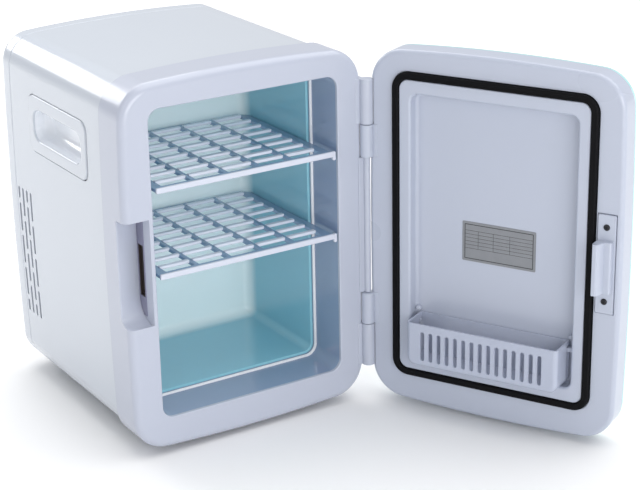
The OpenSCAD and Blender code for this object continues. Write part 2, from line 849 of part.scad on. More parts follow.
module mode_rocker() {
    color("#33363b") {
        translate([switch_x, rocker_y, rear_row_z - 4.7]) linear_extrude(9.4)
            polygon([[-7.2, -4.5], [0, -8], [7.2, -4.5], [7.4, 4.2], [0, 2.6], [-7.4, 4.2]]);
        translate([switch_x, rocker_y, rear_row_z - 4.9]) cylinder(h = 9.8, r = 1.5);
    }
}

module cover_screws() {
    color("dimgray") cover_screw_places() {
        along_y(cover_y - boss_len + 6, back_y, 0, 0, cover_screw_r);
        along_y(back_y, back_y + 1.8, 0, 0, 3.2);
    }
}

// ---------- shelves ----------

module shelf(z) {
    half = liner_w / 2 - shelf_gap;
    y0 = front_y + 0.8;
    y1 = liner_y1 - 1.5;
    chamfer = 8;
    tab_half = 28;
    col_w = (2 * half - 2 * shelf_border - (shelf_cols - 1) * rib_w) / shelf_cols;
    first_row = y0 + 20;
    last_row = y1 - 7;
    pitch = (last_row - first_row) / (shelf_rows - 1);
    color("#d9e2ee") {
        difference() {
            translate([0, 0, z - shelf_t]) linear_extrude(shelf_t) polygon([
                [-half, y0], [half, y0], [half, y1 - chamfer - 1.5], [half - chamfer, y1 - 1.5],
                [tab_half + 2, y1 - 1.5], [tab_half, y1], [-tab_half, y1], [-tab_half - 2, y1 - 1.5],
                [-half + chamfer, y1 - 1.5], [-half, y1 - chamfer - 1.5]
            ]);
            for (c = [0:shelf_cols - 1])
                translate([-half + shelf_border + c * (col_w + rib_w), y0 + shelf_front, z - shelf_t - 1])
                    cube([col_w, y1 - y0 - shelf_front - 4, shelf_t + 2]);
        }
        for (c = [0:shelf_cols - 1], r = [0:shelf_rows - 1])
            translate([-half + shelf_border + c * (col_w + rib_w), first_row + r * pitch, z])
                rotate([90, 0, 90]) linear_extrude(col_w) slat_profile();
        translate([0, 0, z - shelf_t - 1]) box([-half, y0 - 0.4, 0], [half, y0 + 2.4, shelf_t + 1.6]);
        translate([half + 1.2, y0 - 0.4, z - shelf_t - 4]) box([-1.6, 0, 0], [1.6, 3.4, shelf_t + 4.6]);
    }
}

module slat_profile() {
    translate([0, -1.5]) circle(slat_w / 2);
    translate([-slat_w / 2, -shelf_t]) square([slat_w, shelf_t - 1.5]);
}

module upper_shelf() {
    shelf(shelf_high_z);
}

module lower_shelf() {
    shelf(shelf_low_z);
}

// ---------- door, drawn shut and turned open ----------

module hinge_reliefs() {
    for (z = [cab_low, cab_high]) hinge_cylinder(z - knuckle_gap, knuckle_cab + 2 * knuckle_gap, relief_r);
    hinge_cylinder(bead_low - knuckle_gap, bead_high - bead_low + 2 * knuckle_gap, bead_relief_r);
}

module gasket_ring(extra, y0, y1) {
    difference() {
        slab(y0, y1, 0, open_mid)
            round_rect(gasket_mid_w + gasket_w + extra, gasket_mid_h + gasket_w + extra,
                gasket_mid_r + gasket_w / 2);
        slab(y0 - 1, y1 + 1, 0, open_mid)
            round_rect(gasket_mid_w - gasket_w - extra, gasket_mid_h - gasket_w - extra,
                gasket_mid_r - gasket_w / 2);
    }
}

module door_inner_panel() {
    color(white) on_door() {
        difference() {
            union() {
                bowed_block(body_w, body_h, corner_r, seam_y, door_y1, 0, door_edge);
                slab(door_y1 - 1, door_y1 + plug_d, 0, open_mid) round_rect(plug_w, plug_h, plug_r);
                for (z = [door_low, door_high]) {
                    hinge_cylinder(z, knuckle_door, knuckle_r);
                    box([hinge_x - 10, door_y1 - door_edge - 1, z], [hinge_x, hinge_y - 1, z + knuckle_door]);
                }
            }
            difference() {
                bowed_slab(body_w - 2 * door_wall, body_h - 2 * door_wall, corner_r - door_wall,
                    seam_y - 1, door_y1 - door_wall - groove_d - 1.5);
                slab(recess_y - door_wall, door_y1, 0, open_mid)
                    round_rect(recess_w + 2 * door_wall, recess_h + 2 * door_wall, recess_r + door_wall);
            }
            slab(recess_y, door_y1 + plug_d + 1, 0, open_mid) round_rect(recess_w, recess_h, recess_r);
            gasket_ring(0.2, door_y1 - groove_d, door_y1 + plug_d + 2);
            hinge_reliefs();
            for (z = [door_low, door_high]) hinge_cylinder(z - 1, knuckle_door + 2, pin_r + pin_clear);
            for (z = catch_screw_z)
                along_y(door_y1 - 6, door_y1 + 1, (catch_x0 + catch_x1) / 2, z, 1.5);
        }
        for (side = [-1, 1]) {
            inner = side * (bin_w / 2 - bin_t - 0.4);
            outer = side * (recess_w / 2 + 1);
            along_x(min(inner, outer), max(inner, outer), recess_y + 5, boss_z, boss_r);
            along_y(recess_y - 1, recess_y + 2.5, side * nub_x, nub_z, nub_r);
        }
    }
}

module door_front_panel() {
    color("#a9d5d4") on_door() difference() {
        bowed_block(body_w, body_h, corner_r, door_y0, seam_y, front_edge, 0);
        bowed_slab(body_w - 2 * door_wall - 8, body_h - 2 * door_wall - 8, corner_r - door_wall - 4,
            door_y0 + door_wall, seam_y + 1);
        hinge_reliefs();
    }
}

module door_foam() {
    color("#e6dcb8") on_door() bowed_slab(body_w - 2 * door_wall - 9, body_h - 2 * door_wall - 9,
        corner_r - door_wall - 4.5, door_y0 + door_wall, recess_y - door_wall);
}

module door_gasket() {
    color("#151617") on_door() gasket_ring(0, door_y1 - groove_d, front_y - gasket_air);
}

module latch_catch() {
    y0 = door_y1;
    y1 = y0 + catch_t;
    color("#dfe3ea") on_door() difference() {
        union() {
            box([catch_x0, y0, catch_z0], [catch_x1, y1, catch_z0 + catch_len]);
            translate([0, 0, catch_mid_z - catch_ridge / 2]) linear_extrude(catch_ridge) polygon([
                [catch_x0 + 2, y0 + 1], [catch_x0 + 2, y1 + catch_step - 1], [catch_x0 + 3, y1 + catch_step],
                [catch_x1 - 8, y1 + catch_step], [catch_x1 - 5.5, y1 + catch_out - 1],
                [catch_x1 - 4, y1 + catch_out], [catch_x1 - 1, y1 + catch_out],
                [catch_x1, y1 + catch_out - 2], [catch_x1, y0 + 1]
            ]);
        }
        for (z = catch_screw_z) along_y(y0 - 1, y1 + 1, (catch_x0 + catch_x1) / 2, z, 1.7);
    }
}

module catch_screws() {
    color("#2b2d30") on_door() for (z = catch_screw_z) {
        along_y(door_y1 - 5, door_y1 + catch_t, (catch_x0 + catch_x1) / 2, z, 1.5);
        along_y(door_y1 + catch_t, door_y1 + catch_t + 1.2, (catch_x0 + catch_x1) / 2, z, 2.8);
    }
}

module rating_plate() {
    color("silver") on_door() box([label_x[0], recess_y, label_z[0]],
        [label_x[1], recess_y + label_t, label_z[1]]);
}

module door_bin() {
    half = bin_w / 2;
    slot_low = bin_z0 + 6;
    slot_h = bin_h - 13;
    pitch = (bin_w - 2 * bin_margin) / (bin_slots - 1);
    color(white) on_door() difference() {
        translate([0, 0, bin_z0]) difference() {
            bin_form(half, bin_y1, 0, bin_h, bin_r);
            bin_form(half - bin_t, bin_y1 - bin_t, bin_t, bin_h + 1, bin_r - bin_t);
        }
        for (k = [0:bin_slots - 1])
            slab(bin_y1 - 4, bin_y1 + 1, (k - (bin_slots - 1) / 2) * pitch, slot_low + slot_h / 2)
                stadium(slot_h, bin_slot_w);
        for (side = [-1, 1]) boss_slot(side);
    }
}

// An upright slot, open below, that drops over a boss.
module boss_slot(side) {
    x = side * (bin_w / 2 - bin_t / 2);
    r = boss_r + 0.3;
    along_x(x - bin_t, x + bin_t, recess_y + 5, boss_z, r);
    box([x - bin_t, recess_y + 5 - r, bin_z0 - 1], [x + bin_t, recess_y + 5 + r, boss_z]);
}

// A tray seen from the front as a rectangle with its two lower corners rounded.
module bin_form(half, y1, z0, z1, r) {
    slab(bin_y0 + (z0 > 0 ? bin_t : 0), y1, 0, 0) {
        translate([-half, z0 + r]) square([2 * half, z1 - z0 - r]);
        translate([-half + r, z0]) square([2 * (half - r), r + 1]);
        for (x = [-1, 1]) translate([x * (half - r), z0 + r]) circle(r);
    }
}

outer_shell();
front_collar();
entry_sleeve();
liner();
foam_insulation();
rear_cover();
handle_cup_left();
handle_cup_right();
latch_pocket();
feet();
hinge_pin_upper();
hinge_pin_lower();
cold_block();
thermoelectric_module();
module_screws();
heat_sink();
fan_frame();
fan_screws();
fan_rotor();
power_board();
mains_inlet();
car_inlet();
switch_housing();
mode_rocker();
cover_screws();
upper_shelf();
lower_shelf();
door_inner_panel();
door_front_panel();
door_foam();
door_gasket();
latch_catch();
catch_screws();
rating_plate();
door_bin();
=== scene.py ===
"""Looks of the mini fridge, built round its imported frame. +Z is up and the front faces -Y."""
import json
import math

import bmesh
import bpy
from mathutils import Matrix, Vector


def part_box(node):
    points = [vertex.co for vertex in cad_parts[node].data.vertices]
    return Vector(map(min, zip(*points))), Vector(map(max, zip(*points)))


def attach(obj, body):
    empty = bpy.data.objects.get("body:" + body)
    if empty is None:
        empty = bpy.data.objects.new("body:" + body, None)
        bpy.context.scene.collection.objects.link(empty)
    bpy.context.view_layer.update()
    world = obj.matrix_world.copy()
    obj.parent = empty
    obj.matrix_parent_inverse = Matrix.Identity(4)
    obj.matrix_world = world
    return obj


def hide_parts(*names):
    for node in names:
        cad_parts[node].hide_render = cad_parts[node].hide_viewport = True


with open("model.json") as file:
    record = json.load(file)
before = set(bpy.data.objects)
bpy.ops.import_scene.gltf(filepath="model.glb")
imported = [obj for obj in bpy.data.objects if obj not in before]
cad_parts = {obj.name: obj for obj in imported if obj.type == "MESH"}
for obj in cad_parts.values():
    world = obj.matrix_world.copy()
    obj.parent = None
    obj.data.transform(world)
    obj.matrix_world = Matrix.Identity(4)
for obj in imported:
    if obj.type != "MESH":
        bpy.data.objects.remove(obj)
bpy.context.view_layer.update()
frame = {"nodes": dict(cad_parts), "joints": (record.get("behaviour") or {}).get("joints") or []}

MM = 0.001


def box_mm(node):
    low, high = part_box(node)
    return low / MM, high / MM


# ---------- camera ----------

def add_camera(place, yaw, pitch, roll, lens):
    """The camera looks along +Y turned by yaw towards +X and by pitch above the horizon."""
    yaw, pitch, roll = (math.radians(a) for a in (yaw, pitch, roll))
    forward = Vector((math.sin(yaw) * math.cos(pitch), math.cos(yaw) * math.cos(pitch), math.sin(pitch)))
    right = forward.cross(Vector((0, 0, 1))).normalized()
    up = right.cross(forward)
    rolled_right = right * math.cos(roll) + up * math.sin(roll)
    rolled_up = up * math.cos(roll) - right * math.sin(roll)
    data = bpy.data.cameras.new("camera")
    data.sensor_fit = "HORIZONTAL"
    data.sensor_width = 36
    data.lens = lens
    camera = bpy.data.objects.new("camera", data)
    bpy.context.scene.collection.objects.link(camera)
    axes = Matrix((rolled_right, rolled_up, -forward)).transposed()
    camera.matrix_world = Matrix.Translation(place) @ axes.to_4x4()
    bpy.context.scene.camera = camera


add_camera((-0.7157, -1.3867, 0.7207), yaw=32.02, pitch=-20.60, roll=-1.10, lens=100.15)


# ---------- sizes in millimetres, from the frame where it gives them ----------

CORNER_R = 28
CROWN_SIDE = 3
CROWN_TOP = 5
BEZEL_T = 3
COLLAR_D = 40
COLLAR_T = 2.6
COLLAR_EDGE = 7
SHELL_T = 2.5
COVER_EDGE = 12
SLEEVE_T = 2
OPEN_R = 11
LINER_WALL = 1.6
STEP = 4
DOOR_GAP = 4
DOOR_T = 30
FRONT_T = 8
DOOR_EDGE = 4
DOOR_WALL = 2.5

collar_low, collar_high = box_mm("front_collar")
shell_low, shell_high = box_mm("outer_shell")
sleeve_low, sleeve_high = box_mm("entry_sleeve")
liner_low, liner_high = box_mm("liner")

BODY_W = -2 * collar_low.x
BODY_H = collar_high.z - collar_low.z
MID_Z = (collar_low.z + collar_high.z) / 2
SHELL_W = -2 * shell_low.x
SHELL_H = shell_high.z - shell_low.z
SHELL_R = CORNER_R - 3
FRONT_Y = sleeve_low.y - BEZEL_T
COVER_Y = shell_high.y
BACK_Y = -FRONT_Y
OPEN_W = sleeve_high.x - sleeve_low.x - 2 * SLEEVE_T
OPEN_H = sleeve_high.z - sleeve_low.z - 2 * SLEEVE_T
OPEN_Z = (sleeve_low.z + sleeve_high.z) / 2
LINER_Y0 = liner_low.y
LINER_Y1 = liner_high.y - LINER_WALL
DOOR_Y1 = FRONT_Y - DOOR_GAP
DOOR_Y0 = DOOR_Y1 - DOOR_T
SEAM_Y = DOOR_Y0 + FRONT_T

door_joint = next(j for j in frame["joints"] if j["name"] == "door_hinge")
HINGE_X, HINGE_Y, _ = (v / MM for v in door_joint["pos_m"])
DOOR_OPEN = math.radians(-door_joint["range_deg"][0])
HINGE = Vector((HINGE_X, HINGE_Y, 0))
DOOR_TURN = Matrix.Translation(HINGE) @ Matrix.Rotation(DOOR_OPEN, 4, "Z") @ Matrix.Translation(-HINGE)

CORNER_CUTS = 12
SIDE_CUTS = 12

# Cuts through the shell's sides run between these two distances from the middle.
SIDE_CUT = (104, 124)

VENT_W = 3.5
VENT_L = 28
VENT_GAP = 4.6
VENT_PITCH = 8.7
VENT_COLUMNS = 4
VENT_ROWS = 4
VENT_Z = 67
# The dark sheets behind the vents are painted shade that keeps the slots dark.
SHADE_SHEET_X = 111.4
SHADE_SHEET_T = 1.0

NOTCH_X = -OPEN_W / 2 - 5.3
NOTCH_Z0, NOTCH_Z1 = 125, 221
NOTCH_D = 22
NOTCH_SIDE_D = 15
NOTCH_CUTS = 12
STRIKE_Y0, STRIKE_Y1 = FRONT_Y + 11, FRONT_Y + 20.5
STRIKE_Z0, STRIKE_Z1 = 148, 195

FOOT_H = 4
TOTAL_H = 340
HINGE_IN = 31.5
KNUCKLE_R = 6
BEAD_R = 3
KNUCKLE_CAB, KNUCKLE_DOOR, KNUCKLE_GAP = 41, 30, 0.5
CAB_LOW = FOOT_H + HINGE_IN
DOOR_LOW = CAB_LOW + KNUCKLE_CAB + KNUCKLE_GAP
BEAD_LOW = DOOR_LOW + KNUCKLE_DOOR + KNUCKLE_GAP
CAB_HIGH = TOTAL_H - HINGE_IN - KNUCKLE_CAB
DOOR_HIGH = CAB_HIGH - KNUCKLE_GAP - KNUCKLE_DOOR
BEAD_HIGH = DOOR_HIGH - KNUCKLE_GAP

CUP_L, CUP_H, CUP_R = 119, 53, 10
CUP_Y = FRONT_Y + 72 + CUP_L / 2
CUP_Z = 238 + CUP_H / 2
POCKET_L, POCKET_H, POCKET_D = 98, 29, 17
POCKET_RISE = 6

COOL_Z = MID_Z + 18
GRILLE_RINGS = 4
GRILLE_SECTORS = 8
GRILLE_R, GRILLE_PITCH, GRILLE_SLOT = 12, 8, 4
GRILLE_SPOKE = 3.6
mains_low, mains_high = box_mm("mains_inlet")
car_low, car_high = box_mm("car_inlet")
switch_low, switch_high = box_mm("switch_housing")
MAINS_X = (mains_low.x + mains_high.x) / 2
CAR_X = (car_low.x + car_high.x) / 2
SWITCH_X = (switch_low.x + switch_high.x) / 2
REAR_ROW_Z = (mains_low.z + mains_high.z) / 2

LINER_FILLET = 9
SHELF_HEIGHTS = (169, 246)
SHELF_BORDER = 9
SHELF_COLUMNS, SHELF_ROWS = 5, 8
SHELF_RIB = 4.5
SHELF_T = 3.0

GASKET_W = 6.4
GROOVE_D = 2
GASKET_MID = (OPEN_W + 0.6, OPEN_H + 0.6, OPEN_R + 1)
PLUG_D = 2
RECESS_D = 10
RECESS_R = 7
PLUG = (GASKET_MID[0] - GASKET_W - 0.6, GASKET_MID[1] - GASKET_W - 0.6, GASKET_MID[2] - GASKET_W / 2)
RECESS = (PLUG[0] - 22, PLUG[1] - 25, RECESS_R)
RECESS_Y = DOOR_Y1 - RECESS_D

CATCH_X1 = NOTCH_X - 0.7
CATCH_X0 = CATCH_X1 - 16
CATCH_LEN = 89
CATCH_Z0 = NOTCH_Z0 + (NOTCH_Z1 - NOTCH_Z0 - CATCH_LEN) / 2
CATCH_MID_Z = 171.5
RIDGE_HALF = 23
CATCH_SCREWS = (11, 78)
CATCH_HEAD_R = 2.8
COVER_HEAD_R = 3.2

PLATE_X0, PLATE_X1 = -38, 32
PLATE_Z0, PLATE_Z1 = MID_Z - 22, MID_Z + 15
PLATE_ROWS = 6
PLATE_COLUMNS = (0.34, 0.58, 0.80)
RULE_W = 0.7
HAIRLINE = 0.15

BIN_W, BIN_H, BIN_OUT, BIN_T = 145, 41, 20.5, 1.8
BIN_Z0 = OPEN_Z - RECESS[1] / 2 + 0.6
BIN_TOP = BIN_Z0 + BIN_H
BIN_BACK, BIN_FRONT = RECESS_Y + 0.35, DOOR_Y1 + BIN_OUT
BIN_R = 8
BIN_EDGE = 4
BIN_SLOTS = 15


# ---------- materials ----------

class Look:
    """A node material on one Principled shader, with its own texture coordinates."""

    def __init__(self, name, colour, roughness, **sockets):
        self.material = bpy.data.materials.new(name)
        self.material.use_nodes = True
        self.tree = self.material.node_tree
        self.shader = self.tree.nodes["Principled BSDF"]
        self.colour = colour
        self.shader.inputs["Base Color"].default_value = (*colour, 1)
        self.shader.inputs["Roughness"].default_value = roughness
        for socket, value in sockets.items():
            self.shader.inputs[socket.replace("_", " ")].default_value = value
        self.place = self.node("ShaderNodeTexCoord").outputs["Object"]

    def node(self, kind, **settings):
        made = self.tree.nodes.new(kind)
        for key, value in settings.items():
            setattr(made, key, value)
        return made

    def link(self, source, target):
        self.tree.links.new(source, target)

    def noise(self, scale, detail=2.0, stretch=(1, 1, 1)):
        """Noise of about one cell per 1/scale metres."""
        mapping = self.node("ShaderNodeMapping")
        mapping.inputs["Scale"].default_value = stretch
        self.link(self.place, mapping.inputs["Vector"])
        made = self.node("ShaderNodeTexNoise")
        made.inputs["Scale"].default_value = scale
        made.inputs["Detail"].default_value = detail
        self.link(mapping.outputs["Vector"], made.inputs["Vector"])
        return made.outputs["Fac"]

    def between(self, factor, low, high):
        made = self.node("ShaderNodeMapRange")
        made.inputs["From Min"].default_value = 0.3
        made.inputs["From Max"].default_value = 0.7
        made.inputs["To Min"].default_value = low
        made.inputs["To Max"].default_value = high
        self.link(factor, made.inputs["Value"])
        return made.outputs["Result"]

    def mottle(self, scale, amount, tint=(1, 1, 1), detail=2.0, stretch=(1, 1, 1)):
        """Slow drift of the base colour, darker by amount and tinted where it is dark."""
        ramp = self.node("ShaderNodeValToRGB")
        ramp.color_ramp.elements[0].position = 0.3
        ramp.color_ramp.elements[1].position = 0.7
        dark = [c * (1 - amount) * t for c, t in zip(self.colour, tint)]
        ramp.color_ramp.elements[0].color = (*dark, 1)
        ramp.color_ramp.elements[1].color = (*self.colour, 1)
        self.link(self.noise(scale, detail, stretch), ramp.inputs["Fac"])
        self.link(ramp.outputs["Color"], self.shader.inputs["Base Color"])
        return self

    def fade(self, start, end, far_colour):
        """Blends the base colour into another along +Y, between two places in millimetres."""
        parts = self.node("ShaderNodeSeparateXYZ")
        self.link(self.place, parts.inputs["Vector"])
        share = self.node("ShaderNodeMapRange", interpolation_type="SMOOTHSTEP")
        share.inputs["From Min"].default_value = start * MM
        share.inputs["From Max"].default_value = end * MM
        self.link(parts.outputs["Y"], share.inputs["Value"])
        blend = self.node("ShaderNodeMixRGB")
        blend.inputs["Color1"].default_value = (*self.colour, 1)
        old = self.shader.inputs["Base Color"]
        if old.is_linked:
            self.link(old.links[0].from_socket, blend.inputs["Color1"])
        blend.inputs["Color2"].default_value = (*far_colour, 1)
        self.link(share.outputs["Result"], blend.inputs["Fac"])
        self.link(blend.outputs["Color"], old)
        return self

    def rough(self, scale, low, high, detail=3.0, stretch=(1, 1, 1)):
        value = self.between(self.noise(scale, detail, stretch), low, high)
        self.link(value, self.shader.inputs["Roughness"])
        return self

    def bump(self, scale, height, detail=2.0, stretch=(1, 1, 1)):
        """Surface relief of the given height in metres."""
        made = self.node("ShaderNodeBump")
        made.inputs["Distance"].default_value = height
        made.inputs["Strength"].default_value = 1.0
        self.link(self.noise(scale, detail, stretch), made.inputs["Height"])
        self.link(made.outputs["Normal"], self.shader.inputs["Normal"])
        return self


def gloss_plastic(name, colour, roughness=0.22, coat=0.35, **sockets):
    """Injection-moulded plastic: faint orange peel, slow colour drift and uneven gloss."""
    look = Look(name, colour, roughness, Coat_Weight=coat, Coat_Roughness=0.08, **sockets)
    look.mottle(6, 0.006, (0.995, 1.0, 1.005), 0.5)
    look.rough(10, roughness - 0.008, roughness + 0.008, 0.5)
    return look.bump(420, 0.000003)


def matt_plastic(name, colour, roughness=0.5, grain=0.00004, shine=0.5):
    """Textured plastic with a fine spark-eroded grain."""
    look = Look(name, colour, roughness, Specular_IOR_Level=shine)
    look.mottle(40, 0.12)
    look.rough(900, roughness - 0.08, roughness + 0.1)
    return look.bump(1600, grain, 3.0)


def make_looks():
    looks = {
        "shell_white": gloss_plastic("shell_white", (0.53, 0.57, 0.635), 0.26, 0.6),
        "bezel_white": gloss_plastic("bezel_white", (0.455, 0.485, 0.575), 0.26, 0.4),
        "door_white": gloss_plastic("door_white", (0.455, 0.49, 0.585), 0.28, 0.35),
        "sleeve_grey": gloss_plastic("sleeve_grey", (0.27, 0.345, 0.49), 0.18, 0.5),
        # pocket_painted_light is painted light: far lighter than the shell, for the lit inside of the handle
        # pockets.
        "pocket_painted_light": gloss_plastic("pocket_painted_light", (0.86, 0.89, 0.94), 0.2, 0.6),
        # lip_white is a painted highlight for the bright line where the sleeve meets the liner.
        "lip_white": gloss_plastic("lip_white", (0.88, 0.89, 0.92), 0.2, 0.4),
        "liner_mint": gloss_plastic("liner_mint", (0.28, 0.60, 0.71), 0.18, 0.5),
        "bin_white": gloss_plastic("bin_white", (0.42, 0.455, 0.56), 0.24, 0.4),
        "shelf_white": gloss_plastic("shelf_white", (0.72, 0.76, 0.86), 0.22, 0.4),
        "shelf_lip": gloss_plastic("shelf_lip", (0.58, 0.61, 0.70), 0.2, 0.4),
        "shelf_frame": gloss_plastic("shelf_frame", (0.24, 0.36, 0.52), 0.2, 0.4),
        "notch_grey": gloss_plastic("notch_grey", (0.20, 0.20, 0.29), 0.25, 0.3),
        "panel_mint": gloss_plastic("panel_mint", (0.40, 0.74, 0.72), 0.12, 0.8),
        "black_plastic": matt_plastic("black_plastic", (0.022, 0.022, 0.025)),
        "slot_dark": matt_plastic("slot_dark", (0.03, 0.02, 0.018), 0.6),
        "rubber": matt_plastic("rubber", (0.03, 0.03, 0.032), 0.7, 0.00006),
        "gasket_black": matt_plastic("gasket_black", (0.002, 0.002, 0.003), 0.65, 0.00002, 0.15),
        "ceramic": matt_plastic("ceramic", (0.78, 0.78, 0.75), 0.6),
    }
    # Painted light: the liner turns pale towards its back wall, for the light thrown back off that wall.
    looks["liner_mint"].fade(LINER_Y1 - 15, LINER_Y1 - 2, (0.84, 0.97, 0.98))
    foam = Look("foam", (0.78, 0.70, 0.48), 0.9)
    looks["foam"] = foam.mottle(300, 0.25, (1, 0.95, 0.8), 4.0).bump(700, 0.0003, 4.0)
    board = Look("board", (0.03, 0.16, 0.06), 0.35, Coat_Weight=0.5)
    looks["board"] = board.mottle(250, 0.5, (0.8, 1, 0.8), 4.0).rough(500, 0.25, 0.5).bump(900, 0.00005)
    steel = Look("steel", (0.62, 0.62, 0.64), 0.3, Metallic=1.0)
    looks["steel"] = steel.mottle(60, 0.15).rough(500, 0.22, 0.42, 3.0, (1, 1, 0.1)).bump(1500, 0.00001)
    dark = Look("steel_dark", (0.035, 0.035, 0.04), 0.35, Metallic=0.6)
    looks["steel_dark"] = dark.mottle(300, 0.3).rough(700, 0.25, 0.5).bump(1800, 0.00001)
    aluminium = Look("aluminium", (0.72, 0.73, 0.75), 0.4, Metallic=1.0)
    looks["aluminium"] = aluminium.mottle(80, 0.1).rough(500, 0.32, 0.5, 3.0, (1, 1, 0.05))
    plate = Look("plate_silver", (0.25, 0.26, 0.28), 0.38, Metallic=0.35)
    plate.mottle(120, 0.08).rough(600, 0.3, 0.45, 3.0, (0.1, 1, 1))
    looks["plate_silver"] = plate.bump(1400, 0.000008)
    ink = Look("plate_ink", (0.045, 0.047, 0.05), 0.5)
    looks["plate_ink"] = ink.mottle(900, 0.3).rough(800, 0.4, 0.6)
    return {name: look.material for name, look in looks.items()}


LOOKS = make_looks()


# ---------- mesh tools, all in millimetres ----------

def outline(w, h, r, side=0.0, top=0.0):
    """A rounded rectangle, anticlockwise, with its sides bowed out by side and its ends by top."""
    r = max(r, 0.2)
    a, b = w / 2 - side - r, h / 2 - top - r
    corners = [(a, b), (-a, b), (-a, -b), (a, -b)]
    points = []
    for q, (cx, cy) in enumerate(corners):
        for i in range(CORNER_CUTS + 1):
            angle = math.pi / 2 * (q + i / CORNER_CUTS)
            points.append((cx + r * math.cos(angle), cy + r * math.sin(angle)))
        angle = math.pi / 2 * (q + 1)
        nx, ny = corners[(q + 1) % 4]
        end = Vector(points[-1])
        step = Vector((nx + r * math.cos(angle), ny + r * math.sin(angle))) - end
        points += [tuple(end + step * i / SIDE_CUTS) for i in range(1, SIDE_CUTS)]
    return [(x + side * x / (w / 2) * (1 - (2 * y / h) ** 2),
             y + top * y / (h / 2) * (1 - (2 * x / w) ** 2)) for x, y in points]


def body_ring(inset, y, w=BODY_W, h=BODY_H, r=CORNER_R):
    points = outline(w - 2 * inset, h - 2 * inset, max(r - inset, 1), CROWN_SIDE, CROWN_TOP)
    return [Vector((x, y, MID_Z + z)) for x, z in points]


def shell_ring(inset, y):
    return body_ring(inset, y, SHELL_W, SHELL_H, SHELL_R)


def flat_ring(w, h, r, y, x=0.0, z=0.0):
    return [Vector((x + u, y, z + v)) for u, v in outline(w, h, r)]


def open_ring(grow, y):
    return flat_ring(OPEN_W + 2 * grow, OPEN_H + 2 * grow, OPEN_R + grow, y, 0, OPEN_Z)


def arc(x, y, r, start, end, steps=6):
    """Points (x, y) of an arc; the angles are in degrees."""
    turns = [math.radians(start + (end - start) * i / steps) for i in range(steps + 1)]
    return [(x + r * math.cos(t), y + r * math.sin(t)) for t in turns]


def loft(bm, rings, loop=False):
    """Joins equal rings of points with faces; the first and last ring are closed unless it is a loop."""
    rows = [[bm.verts.new(p) for p in ring] for ring in rings]
    count = len(rows[0])
    pairs = list(zip(rows, rows[1:])) + ([(rows[-1], rows[0])] if loop else [])
    for low, high in pairs:
        for i in range(count):
            j = (i + 1) % count
            bm.faces.new((low[i], low[j], high[j], high[i]))
    if not loop:
        bm.faces.new(rows[0])
        bm.faces.new(list(reversed(rows[-1])))


def soft_block(bm, low, high, edge, corner=None, axis="y", steps=3):
    """A block with rounded corners seen along its axis and rounded ends."""
    low, high = Vector(low), Vector(high)
    order = {"x": (1, 2, 0), "y": (0, 2, 1), "z": (0, 1, 2)}[axis]
    u, v, n = order
    size, middle = high - low, (low + high) / 2
    corner = edge if corner is None else corner
    ends = arc(edge, low[n] + edge, edge, 270, 180, steps) + arc(edge, high[n] - edge, edge, 180, 90, steps)
    rings = []
    for inset, depth in ends:
        ring = []
        for a, b in outline(size[u] - 2 * inset, size[v] - 2 * inset, max(corner - inset, 0.2)):
            point = [0.0, 0.0, 0.0]
            point[u], point[v], point[n] = middle[u] + a, middle[v] + b, depth
            ring.append(Vector(point))
        rings.append(ring)
    loft(bm, rings)


def turned(bm, profile, centre, axis="y", cuts=32):
    """A solid of revolution: profile is a list of (radius, place along the axis)."""
    rings = []
    for radius, along in profile:
        ring = []
        for i in range(cuts):
            a = 2 * math.pi * i / cuts
            u, v = radius * math.cos(a), radius * math.sin(a)
            offset = {"x": (along, u, v), "y": (u, along, v), "z": (u, v, along)}[axis]
            ring.append(Vector(centre) + Vector(offset))
        rings.append(ring)
    loft(bm, rings)


def prism(bm, points, low, high, axis="z"):
    """A straight prism on a polygon, whose points lie in the other two axes."""
    def place(a, b, c):
        return {"x": (c, a, b), "y": (a, c, b), "z": (a, b, c)}[axis]
    loft(bm, [[Vector(place(a, b, c)) for a, b in points] for c in (low, high)])


def slot_points(length, width, x=0.0, z=0.0, cuts=8):
    """An upright slot with round ends."""
    r = width / 2
    top = arc(x, z + length / 2 - r, r, 0, 180, cuts)
    bottom = arc(x, z - length / 2 + r, r, 180, 360, cuts)
    return top + bottom


def solid(build):
    """Runs build(bm) and returns a scratch object, in millimetres, with its faces outward."""
    bm = bmesh.new()
    build(bm)
    bmesh.ops.recalc_face_normals(bm, faces=bm.faces)
    mesh = bpy.data.meshes.new("scratch")
    bm.to_mesh(mesh)
    bm.free()
    piece = bpy.data.objects.new("scratch", mesh)
    bpy.context.scene.collection.objects.link(piece)
    return piece


def combine(piece, build, operation="DIFFERENCE"):
    """Cuts or adds the solid that build(bm) makes."""
    tool = solid(build)
    modifier = piece.modifiers.new("combine", "BOOLEAN")
    modifier.operation = operation
    modifier.solver = "EXACT"
    modifier.use_self = True
    modifier.object = tool
    bpy.context.view_layer.update()
    evaluated = piece.evaluated_get(bpy.context.evaluated_depsgraph_get())
    mesh = bpy.data.meshes.new_from_object(evaluated)
    piece.modifiers.clear()
    piece.data = mesh
    bpy.data.objects.remove(tool)
    return piece


